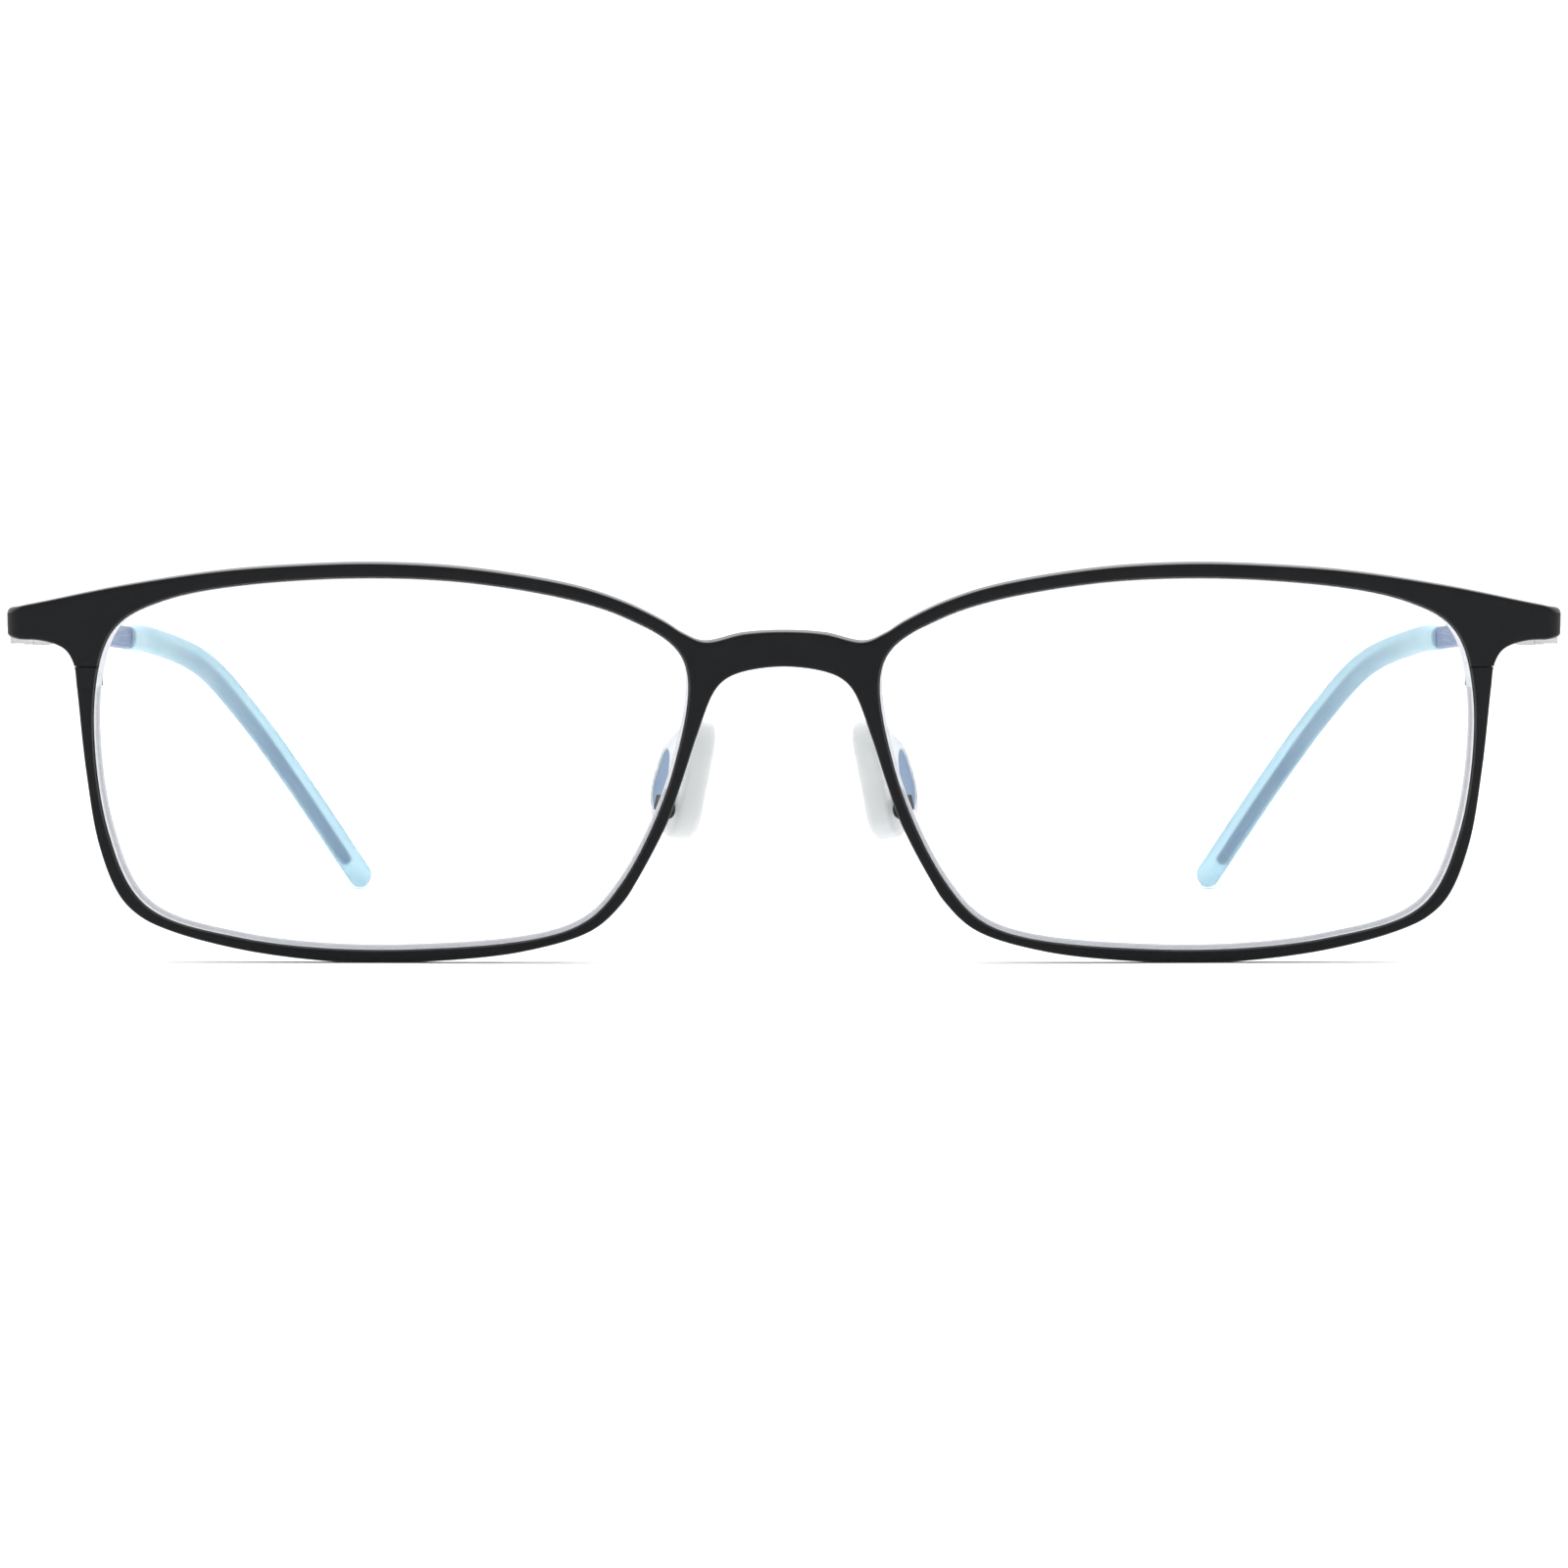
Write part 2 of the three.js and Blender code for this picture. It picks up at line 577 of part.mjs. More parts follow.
function hingeAndTemple(side) {
  const group = new THREE.Group();
  group.position.copy(HINGE_AT);
  group.add(piece("hinge_front_leaf_" + side, frontLeaf(), "silver"));
  group.add(piece("hinge_temple_leaf_" + side, templeLeaf(), "silver"));
  group.add(piece("hinge_screw_" + side, hingeScrew(), "silver"));
  group.add(piece("temple_" + side, temple(), "templeBlue"));
  group.add(piece("temple_tip_" + side, templeTip(), "tipAqua"));
  return group;
}

// ---------------------------------------------------------------- nose pads

// A plate of a given outline, standing on x = from and reaching to x = to.
function padPlate(points, from, to, { round = 0, grow = 0 } = {}) {
  const outline = smooth(points, 32, true);
  const shape = new THREE.Shape(grow > 0 ? grown(outline, grow) : outline);
  const depth = to - from - 2 * round;
  return new THREE.ExtrudeGeometry(shape, {
    depth,
    bevelEnabled: round > 0,
    bevelThickness: round,
    bevelSize: round,
    bevelOffset: -round,
    bevelSegments: 2,
  })
    .rotateX(Math.PI / 2)
    .rotateZ(Math.PI / 2)
    .translate(from + round, 0, 0);
}

// A closed outline, which runs anticlockwise, moved outward by a given distance.
function grown(outline, distance) {
  const count = outline.length;
  return outline.map((point, i) => {
    const along = outline[(i + 1) % count].clone().sub(outline[(i + count - 1) % count]).normalize();
    return new THREE.Vector2(point.x + along.y * distance, point.y - along.x * distance);
  });
}

function nosePad() {
  const half = PAD_THICKNESS / 2;
  const pocket = padPlate(CORE_OUTLINE, half - POCKET_DEPTH, half + 1, { grow: POCKET_GAP });
  return cut(padPlate(PAD_OUTLINE, -half, half, { round: PAD_ROUND }), pocket);
}

// The pad's metal core: a plate in the pocket and a stem for the pin.
function padHolder() {
  const start = PAD_THICKNESS / 2 - POCKET_DEPTH + PAD_GAP;
  const end = start + CORE_PLATE_THICKNESS;
  const plate = padPlate(CORE_OUTLINE, start, end);
  const stem = box(
    [start + 0.1, STEM.y - STEM.width / 2, STEM.z - STEM.height / 2],
    [STEM.end, STEM.y + STEM.width / 2, STEM.z + STEM.height / 2],
  );
  return cut(join(plate, stem), pinHole());
}

// The hole ends at the front of the box, where the wire closes it.
function pinHole() {
  const front = STEM.width / 2 + STEM_PLAY + BOX_CHEEK + PAD_GAP;
  return bar(PIN_RADIUS + PAD_GAP, -front, 3, 12)
    .rotateX(-Math.PI / 2)
    .translate(PIN_X, STEM.y, STEM.z);
}

// The pin's head is on the rear cheek of the box.
function padScrew() {
  const halfBox = STEM.width / 2 + STEM_PLAY + BOX_CHEEK;
  return screw(PIN_RADIUS, 2 * halfBox + 0.03, PIN_HEAD, 0.3)
    .translate(0, 0, -halfBox)
    .rotateX(-Math.PI / 2)
    .translate(PIN_X, STEM.y, STEM.z);
}

// A bent wire from the rim to the front cheek of a small box that holds the pad's stem.
function padArm(toPad) {
  const inner = STEM.width / 2 + STEM_PLAY;
  const outer = inner + BOX_CHEEK;
  const shell = box([BOX_START, -outer, -BOX_HEIGHT / 2], [BOX_END, outer, BOX_HEIGHT / 2])
    .translate(0, STEM.y, STEM.z);
  const room = box([BOX_START - 1, -inner, -BOX_HEIGHT], [BOX_END - BOX_CHEEK, inner, BOX_HEIGHT])
    .translate(0, STEM.y, STEM.z);

  const rimBack = frontToWorld(ARM_FOOT[0], RIM_DEPTH + SOLDER_GAP + 0.18, ARM_FOOT[1]);
  const cheekX = (BOX_START + BOX_END) / 2 + 0.15;
  const cheek = new THREE.Vector3(cheekX, STEM.y - outer, STEM.z).applyMatrix4(toPad);
  const cheekInside = new THREE.Vector3(cheekX, STEM.y - inner - 0.12, STEM.z).applyMatrix4(toPad);
  const line = new THREE.CatmullRomCurve3([
    rimBack,
    rimBack.clone().add(new THREE.Vector3(-0.25, 0.6, 0.15)),
    rimBack.clone().lerp(cheek, 0.35).add(new THREE.Vector3(-0.9, 0, -0.05)),
    rimBack.clone().lerp(cheek, 0.65).add(new THREE.Vector3(-0.9, 0, 0.2)),
    cheek.clone().add(new THREE.Vector3(-0.3, -0.2, 0)),
    cheekInside,
  ]);
  const wire = sweep(line, stationsBetween(0, 1, 16, () => ({ out: ARM_RADIUS, up: ARM_RADIUS })), 10);
  const tools = [room, pinHole()].map((tool) => tool.applyMatrix4(toPad));
  return cut(join(shell.applyMatrix4(toPad), wire), ...tools);
}

function nosePadSet(side) {
  const group = new THREE.Group();
  const pad = new THREE.Group();
  pad.position.copy(PAD_CENTRE);
  pad.rotation.set(0, -PAD_LEAN, -PAD_SPLAY, "ZYX");
  pad.updateMatrix();
  pad.add(piece("nose_pad_" + side, nosePad(), "padWhite"));
  pad.add(piece("pad_holder_" + side, padHolder(), "templeBlue"));
  pad.add(piece("pad_screw_" + side, padScrew(), "silver"));
  group.add(pad);
  group.add(piece("pad_arm_" + side, padArm(pad.matrix), "frameBlack"));
  return group;
}

// ---------------------------------------------------------------- assembly

// The place of a point that lies a distance behind the front surface.
function frontToWorld(x, behind, height) {
  const across = new THREE.Vector3(1, 0, 0);
  return new THREE.Vector3(x, faceDepth(x) + behind, height).applyAxisAngle(across, FRONT_TILT);
}

const front = new THREE.Group();
front.rotation.x = FRONT_TILT;
front.add(piece("front_frame", frontFrame(), "frameBlack"));

const glasses = new THREE.Group();
glasses.add(front);
for (const [side, sign] of [["left", 1], ["right", -1]]) {
  const onFront = new THREE.Group();
  onFront.scale.x = sign;
  onFront.add(piece("lens_" + side, lens(), "lens"), rimClosing(side));
  front.add(onFront);

  const behind = new THREE.Group();
  behind.scale.x = sign;
  behind.add(nosePadSet(side), hingeAndTemple(side));
  glasses.add(behind);
}

// Stand the object on z = 0 with the middle of its box over the origin.
glasses.updateMatrixWorld(true);
const extent = new THREE.Box3().setFromObject(glasses, true);
glasses.position.set(0, -(extent.min.y + extent.max.y) / 2, -extent.min.z);

const root = new THREE.Group();
root.add(glasses);
export default root;
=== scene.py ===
# Looks for the blue light glasses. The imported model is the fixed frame. The front, lenses, temples,
# tips, pads and pad arms are rebuilt here as finer pieces on the same curves, and the hinges,
# screws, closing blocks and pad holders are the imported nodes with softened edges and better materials.
#
# Shapes are worked out in millimetres, in the CAD source's own coordinates. "Front" coordinates are
# x across, y back and z up on the untilted front, the temples' points are measured from the hinge,
# and a pad's points from its middle, before it is turned.
import json
import math

import bmesh
import bpy
import numpy as np
from mathutils import Matrix, Vector, geometry, kdtree


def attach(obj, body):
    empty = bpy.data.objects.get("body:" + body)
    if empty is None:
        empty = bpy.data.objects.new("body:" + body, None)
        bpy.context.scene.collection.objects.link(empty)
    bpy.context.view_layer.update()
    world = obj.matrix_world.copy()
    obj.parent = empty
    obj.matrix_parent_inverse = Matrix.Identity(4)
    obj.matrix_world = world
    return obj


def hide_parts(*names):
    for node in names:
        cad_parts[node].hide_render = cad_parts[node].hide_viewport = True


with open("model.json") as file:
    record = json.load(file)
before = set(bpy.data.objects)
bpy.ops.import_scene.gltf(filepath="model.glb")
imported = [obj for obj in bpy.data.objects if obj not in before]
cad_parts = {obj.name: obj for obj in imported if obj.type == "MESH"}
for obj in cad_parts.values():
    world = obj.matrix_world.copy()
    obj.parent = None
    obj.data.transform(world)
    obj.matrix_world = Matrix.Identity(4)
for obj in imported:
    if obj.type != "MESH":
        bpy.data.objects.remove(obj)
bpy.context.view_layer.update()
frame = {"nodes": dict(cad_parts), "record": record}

MM = 0.001

# ---------------------------------------------------------------- sizes shared with the CAD source

FRONT_TILT = math.radians(6.5)
RIM_DEPTH = 1.9
END_THICKNESS = 1.4
# The front thins from the rim's depth to the endpiece's between these distances from the middle.
THIN_FROM = 63.5
THIN_TO = 67.5
LENS_CENTRE = (35.5, 17.8)
FACE_RADIUS = 190
FACE_ANGLE = math.radians(1.5)
BRIDGE_BLEND = 5
HALF_WIDTH = 70.6
END_BEND_RADIUS = 1.9
RETURN_REACH = 9.2

TOP_EDGE = [
    (0, 30.05), (3.6, 29.85), (7.1, 29.15), (9, 29.9), (10.8, 31.05), (14.3, 32.8), (18.8, 34.3),
    (28, 35.9), (36.5, 36.4), (45, 36.1), (51.5, 35.5), (60, 34.1),
]
LOWER_EDGE = [
    (67.5, 29.02), (65.9, 28.65), (65, 28.1), (64.35, 26.9), (64.1, 24.8), (63.4, 17.3),
    (62.3, 10.4), (60.5, 5.8), (58.6, 3.9), (55.7, 2.6), (49.1, 1), (41.5, 0.1), (37, 0),
    (32.5, 0.1), (23.7, 1), (17.4, 2.9), (14.7, 5.3), (13.2, 7.6), (10.6, 12.6), (9.3, 16.2),
    (7.9, 20.5), (6.3, 24.6), (5.3, 25.7), (3.7, 26.4), (0, 26.85),
]
APERTURE = [
    (9.9, 17.8), (14.8, 7), (18.9, 3.2), (33.6, 1.2), (49.4, 2.1), (58.2, 5), (61.5, 11.7),
    (62.5, 24.1), (60.6, 30.2), (56, 32.9), (43.3, 34.9), (27.4, 34.6), (14.3, 31.5), (9, 27.5),
]
# The endpiece as it lies unrolled round the bend: upper and lower edge, towards the temple.
END_UPPER = [(69.55, 32.07), (70.6, 31.96), (72.6, 31.74), (73.9, 31.6)]
END_LOWER = [(73.9, 29.25), (72.6, 29.25), (71.4, 29.22), (70.3, 29.13), (69.2, 29.06)]
END_CORNER = 0.8

SPLIT_HEIGHT = 26.7
SPLIT_GAP = 0.1
# The cut runs across the rim between these distances from the middle, and through its depth.
SPLIT_FROM = 60.8
SPLIT_TO = 66.5
SPLIT_DEPTH = 8
EDGE_ROUND = 0.13
END_ROUND_ABOVE = 0.55
END_ROUND_BELOW = 0.27
# The rounding grows to the two sizes above between these distances from the middle.
END_ROUND_FROM = 68.7
END_ROUND_TO = 70.6
GROOVE_DEPTH = 0.5
GROOVE_HALF_WIDTH = 0.5
LENS_SETBACK = 0.15
LENS_BACK = 1.55
LENS_GAP = 0.03
LENS_FRONT_CHAMFER = 0.06
LENS_REAR_CHAMFER = 0.05
LENS_REAR_CHAMFER_GROWTH = 0.22
BEVEL_HEIGHT = 0.4
BEVEL_FOOT = 0.4

HINGE_AT = np.array((68, 6, 30.6))
BLADE_THICKNESS = 1.3
BLADE_FRONT_HEIGHT = 2.5
BLADE_REAR_HEIGHT = 2.3
BLADE_CORNER = 0.3
BLADE_END_ROUND = 0.35
# The blade's rear end narrows to the core over this length.
SHOULDER = 0.3
BLADE_START = np.array((1.9, 0.1, 0.4))
BLADE_END = np.array((1.6, 79, -1.7))
TIP_LINE = [
    (0.1, 88, -2.05), (-4.4, 99.3, -4.8), (-8.7, 107.6, -10.7), (-13.3, 114.9, -18.2),
    (-20.1, 124.8, -30.05),
]
CORE_WIDTH = 0.9
CORE_HEIGHT = 1.4
CORE_CORNER = 0.3
CORE_TAPER = 0.35
CORE_END_SHARE = 0.97
CORE_SHIFT = (0.22, -0.28)
TIP_THICKNESS = 2.3
TIP_HEIGHT = 2.75
TIP_SQUARENESS = 2.4
# The sleeve is narrower at its mouth by this share, and widens over this length.
TIP_MOUTH_SHARE = 0.08
TIP_MOUTH_LENGTH = 6
TIP_LIP = 0.22
TIP_CAP = 1.35

PAD_CENTRE = (9.4, 8.2, 16.4)
PAD_SPLAY = math.radians(24)
PAD_LEAN = math.radians(12)
PAD_OUTLINE = [
    (-4.1, -0.5), (-4, -4.2), (-2.7, -5.5), (0.2, -4.8), (2.6, -3.7), (3.5, -2.2), (3.75, -0.8),
    (3.4, 1.4), (2.7, 2.9), (0.3, 4.4), (-2.6, 5.7), (-3.9, 4.3),
]
CORE_OUTLINE = [
    (0.2, 0.3), (-0.6, -1.2), (-2, -1.7), (-2.5, -2.6), (-1.8, -3.4), (0.4, -3.4), (2.2, -2.9),
    (2.85, -2), (3.1, -0.8), (2.7, 1.1), (2.3, 2.1), (1.7, 2.5), (1, 2.2), (0.55, 1.5),
]
# Every point of both outlines can be seen from here.
CORE_MIDDLE = (1.2, -2)
PAD_THICKNESS = 2.9
PAD_DOME = 0.25
PAD_ROUND = 0.95
PAD_REAR_ROUND = 0.5
POCKET_DEPTH = 0.9
POCKET_GAP = 0.08
POCKET_LIP = 0.15
STEM_Y = -1.9
STEM_Z = -2.6
BOX_START = 1.66
BOX_END = 2.75
BOX_CHEEK = 0.3
BOX_INNER = 0.4
BOX_HEIGHT = 1.4
BOX_ROUND = 0.1
ARM_RADIUS = 0.4
ARM_FOOT = (11.2, 12.8)
SOLDER_SWELL = 0.22
SOLDER_LENGTH = 0.4

# How far apart the points of the meshes are.
OUTLINE_SPACING = 0.25
FACE_SPACING = 0.5
LENS_SPACING = 0.4
PAD_SPACING = 0.15
CORE_SPACING = 0.05

# The origin's place in the CAD source's own coordinates, from where model.json puts the left hinge.
joints = {joint["name"]: joint for joint in frame["record"]["behaviour"]["joints"]}
ORIGIN_SHIFT = np.array(joints["temple_fold_left"]["pos_m"]) / MM - HINGE_AT

# ---------------------------------------------------------------- curves


def catmull(points, closed=False, per_segment=48):
    """Dense points on the centripetal Catmull-Rom curve through the given ones."""
    knots = np.asarray(points, float)
    if closed:
        around = np.vstack([knots[-1], knots, knots[0], knots[1]])
    else:
        around = np.vstack([2 * knots[0] - knots[1], knots, 2 * knots[-1] - knots[-2]])
    t = np.linspace(0, 1, per_segment, endpoint=False)[:, None]
    runs = []
    for first in range(len(around) - 3):
        p0, p1, p2, p3 = around[first : first + 4]
        d0, d1, d2 = (np.linalg.norm(b - a) ** 0.5 for a, b in ((p0, p1), (p1, p2), (p2, p3)))
        m1 = ((p1 - p0) / d0 - (p2 - p0) / (d0 + d1) + (p2 - p1) / d1) * d1
        m2 = ((p2 - p1) / d1 - (p3 - p1) / (d1 + d2) + (p3 - p2) / d2) * d1
        bend = -3 * p1 + 3 * p2 - 2 * m1 - m2
        twist = 2 * p1 - 2 * p2 + m1 + m2
        runs.append(p1 + m1 * t + bend * t**2 + twist * t**3)
    runs.append(knots[:1] if closed else knots[-1:])
    return np.vstack(runs)


def from_middle(points, per_segment=48):
    """Half of a smooth outline, from the middle line, which it crosses square."""
    other_half = [(-x, y) for x, y in points[:0:-1]]
    return catmull([*other_half, *points], per_segment=per_segment)[len(other_half) * per_segment :]


def lengths(path):
    """The distance along a path to each of its points."""
    return np.r_[0, np.cumsum(np.linalg.norm(np.diff(path, axis=0), axis=1))]


def at_length(path, where):
    """Points at the given distances along a path."""
    along = lengths(path)
    return np.column_stack([np.interp(where, along, column) for column in path.T])


def evenly(path, spacing, closed=False):
    """Points along a path, about a spacing apart. A closed path's last point is left out."""
    total = lengths(path)[-1]
    count = max(3, round(total / spacing))
    spaced = at_length(path, np.linspace(0, total, count + 1))
    return spaced[:-1] if closed else spaced


def outward(loop):
    """Unit normals of a closed flat loop, away from what it encloses."""
    along = np.roll(loop, -1, axis=0) - np.roll(loop, 1, axis=0)
    normal = np.column_stack([along[:, 1], -along[:, 0]])
    normal /= np.linalg.norm(normal, axis=1)[:, None]
    after = np.roll(loop, -1, axis=0)
    area = np.sum(loop[:, 0] * after[:, 1] - after[:, 0] * loop[:, 1])
    return normal if area > 0 else -normal


def smoothstep(low, high, value):
    """A smooth rise from 0 at low to 1 at high."""
    share = np.clip((value - low) / (high - low), 0, 1)
    return share * share * (3 - 2 * share)


# ---------------------------------------------------------------- the front's curved sheet


def face_depth(x):
    """How far back the front face lies, on a shallow curve that is blended across the middle."""
    along = np.hypot(x, BRIDGE_BLEND) - LENS_CENTRE[0]
    return FACE_ANGLE * along + along**2 / (2 * FACE_RADIUS)


def face_slope(x):
    """The angle by which the front face turns back."""
    step = 0.01
    return np.arctan((face_depth(x + step) - face_depth(x - step)) / (2 * step))


BEND_SLOPE = face_slope(HALF_WIDTH - END_BEND_RADIUS)
BEND_START = HALF_WIDTH - END_BEND_RADIUS * (1 - math.sin(BEND_SLOPE))
BEND_CENTRE_X = HALF_WIDTH - END_BEND_RADIUS
BEND_CENTRE_Y = face_depth(BEND_START) + END_BEND_RADIUS * math.cos(BEND_SLOPE)
BEND_END = BEND_START + END_BEND_RADIUS * (math.pi / 2 - BEND_SLOPE)
RETURN_END = BEND_END + RETURN_REACH - BEND_CENTRE_Y


def on_front(across, height, behind):
    """Place of points on the sheet. across is x up to the bend, and then runs on round it."""
    reach = np.abs(across)
    turn = BEND_SLOPE + (reach - BEND_START) / END_BEND_RADIUS
    turn = np.where(reach < BEND_START, face_slope(reach), np.minimum(turn, math.pi / 2))
    x = np.where(reach < BEND_START, reach, BEND_CENTRE_X + END_BEND_RADIUS * np.sin(turn))
    y = BEND_CENTRE_Y - END_BEND_RADIUS * np.cos(turn) + np.maximum(reach - BEND_END, 0)
    y = np.where(reach < BEND_START, face_depth(reach), y)
    x = x - behind * np.sin(turn)
    y = y + behind * np.cos(turn)
    return tilted(np.column_stack([x * np.sign(across), y, height]))


def tilted(points):
    """Front coordinates leaned back by the front's tilt."""
    x, y, z = np.asarray(points, float).T
    c, s = math.cos(FRONT_TILT), math.sin(FRONT_TILT)
    return np.column_stack([x, y * c - z * s, y * s + z * c])


def sheet_thickness(across):
    """The metal's thickness, which is less at the endpieces than in the rims."""
    return RIM_DEPTH + (END_THICKNESS - RIM_DEPTH) * smoothstep(THIN_FROM, THIN_TO, np.abs(across))


def corner_arc(centre, radius, start, end, steps=10):
    angles = np.radians(np.linspace(start, end, steps + 1))
    return [(centre[0] + radius * math.cos(a), centre[1] + radius * math.sin(a)) for a in angles]


def front_outline():
    """The front's outer outline, laid flat, with the endpieces unrolled."""
    upper = from_middle(TOP_EDGE + END_UPPER)
    lower = from_middle((END_LOWER + LOWER_EDGE)[::-1])[::-1]
    centre = RETURN_END - END_CORNER
    rear = corner_arc((centre, END_UPPER[-1][1] - END_CORNER), END_CORNER, 90, 0)
    rear += corner_arc((centre, END_LOWER[0][1] + END_CORNER), END_CORNER, 0, -90)
    half = np.vstack([upper, rear, lower])
    mirrored = half[1:-1][::-1] * (-1, 1)
    return np.vstack([half, mirrored, half[:1]])


# ---------------------------------------------------------------- meshes


def skin(rings):
    """A closed body through rings of equally many points, with a point in the middle of each end."""
    rings = np.asarray(rings)
    count, sides, _ = rings.shape
    points = np.vstack([rings.reshape(-1, 3), rings[0].mean(0), rings[-1].mean(0)])
    first, last = count * sides, count * sides + 1
    faces = []
    for side in range(sides):
        after = (side + 1) % sides
        faces.append((first, after, side))
        for ring in range(count - 1):
            low, high = ring * sides, (ring + 1) * sides
            faces.append((low + side, low + after, high + after, high + side))
        faces.append((last, (count - 1) * sides + side, (count - 1) * sides + after))
    return points, faces


def joined(*bodies):
    """Several bodies' points and faces as one mesh."""
    points, faces, start = [], [], 0
    for body_points, body_faces in bodies:
        points.append(body_points)
        faces += [tuple(start + index for index in face) for face in body_faces]
        start += len(body_points)
    return np.vstack(points), faces


def add_piece(name, shape, body, materials, replaced, side=1, slot_of_face=None):
    """A mesh piece from points in CAD millimetres. side -1 is the mirror image."""
    points, faces = shape
    placed = (np.asarray(points) * (side, 1, 1) + ORIGIN_SHIFT) * MM
    mesh = bpy.data.meshes.new(name)
    mesh.from_pydata(placed.tolist(), [], faces)
    for material in materials:
        mesh.materials.append(material)
    if slot_of_face is not None:
        mesh.polygons.foreach_set("material_index", slot_of_face)
    work = bmesh.new()
    work.from_mesh(mesh)
    bmesh.ops.recalc_face_normals(work, faces=work.faces)
    work.to_mesh(mesh)
    work.free()
    mesh.shade_smooth()
    piece = bpy.data.objects.new(name, mesh)
    bpy.context.scene.collection.objects.link(piece)
    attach(piece, body)
    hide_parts(*replaced)
    return piece


def weigh_normals(piece):
    """Large faces keep their own direction, and the small rounded edges between them blend."""
    modifier = piece.modifiers.new("normals", "WEIGHTED_NORMAL")
    modifier.keep_sharp = True
    modifier.weight = 60


def inside(points, loop):
    """Whether flat points lie inside a closed loop."""
    x, y = points[:, :1], points[:, 1:]
    ax, ay = loop[:, 0], loop[:, 1]
    bx, by = np.roll(ax, -1), np.roll(ay, -1)
    crosses = (ay > y) != (by > y)
    with np.errstate(divide="ignore", invalid="ignore"):
        meets = x < (bx - ax) * (y - ay) / (by - ay) + ax
    return np.count_nonzero(crosses & meets, axis=1) % 2 == 1


def filled(outer, holes, spacing):
    """Triangles that fill a flat region, over its loops' points followed by points inside it."""
    loops = [outer, *holes]
    border = np.vstack(loops)
    edges, start = [], 0
    for loop in loops:
        count = len(loop)
        edges += [(start + i, start + (i + 1) % count) for i in range(count)]
        start += count
    low, high = border.min(0), border.max(0)
    # The columns are twice as close round the two bends.
    bend_margin, bend_half = 0.3, 1.7
    bend = np.arange(BEND_START - bend_margin, BEND_END + bend_margin, spacing / 2)
    columns = np.arange(low[0], high[0], spacing)
    columns = columns[np.abs(np.abs(columns) - (BEND_START + BEND_END) / 2) > bend_half]
    columns = np.concatenate([-bend, columns, bend])
    rows = np.arange(low[1], high[1], spacing)
    grid = np.stack(np.meshgrid(columns, rows), axis=-1).reshape(-1, 2)
    keep = inside(grid, outer)
    for hole in holes:
        keep &= ~inside(grid, hole)
    grid = grid[keep]
    tree = kdtree.KDTree(len(border))
    for index, point in enumerate(border):
        tree.insert((*point, 0), index)
    tree.balance()
    clear = [tree.find((*point, 0))[2] > spacing * 0.5 for point in grid]
    points = np.vstack([border, grid[clear]])
    result = geometry.delaunay_2d_cdt([Vector(p) for p in points], edges, [], 0, 1e-6)
    triangles = np.array(result[2])
    assert len(result[0]) == len(points), "the fill added or lost a point"
    order = np.array([source[0] for source in result[3]])
    triangles = order[triangles]
    middles = points[triangles].mean(axis=1)
    keep = inside(middles, outer)
    for hole in holes:
        keep &= ~inside(middles, hole)
    return points, triangles[keep]


def face_rounding(spots):
    """How far the front face's edge is rounded. It grows where the end bends back."""
    most = np.where(spots[:, 1] > HINGE_AT[2], END_ROUND_ABOVE, END_ROUND_BELOW)
    grown = smoothstep(END_ROUND_FROM, END_ROUND_TO, np.abs(spots[:, 0]))
    return EDGE_ROUND + (most - EDGE_ROUND) * grown


def wall_steps(loop, groove):
    """Steps over the wall along a loop, as (how far into the metal, how far behind the face)."""
    turns = np.radians((90, 60, 30, 0))
    rounding = face_rounding(loop)
    depth = sheet_thickness(loop[:, 0])
    steps = [(rounding * (1 - math.cos(a)), rounding * (1 - math.sin(a))) for a in turns]
    if groove:
        steps.append((0, depth / 2 - GROOVE_HALF_WIDTH))
        steps.append((GROOVE_DEPTH, depth / 2))
        steps.append((0, depth / 2 + GROOVE_HALF_WIDTH))
    else:
        wall = depth - EDGE_ROUND - rounding
        steps += [(0, rounding + wall * share) for share in (0.25, 0.5, 0.75)]
    rear = [(EDGE_ROUND * (1 - math.cos(a)), depth - EDGE_ROUND * (1 - math.sin(a))) for a in turns]
    return steps + rear[::-1]


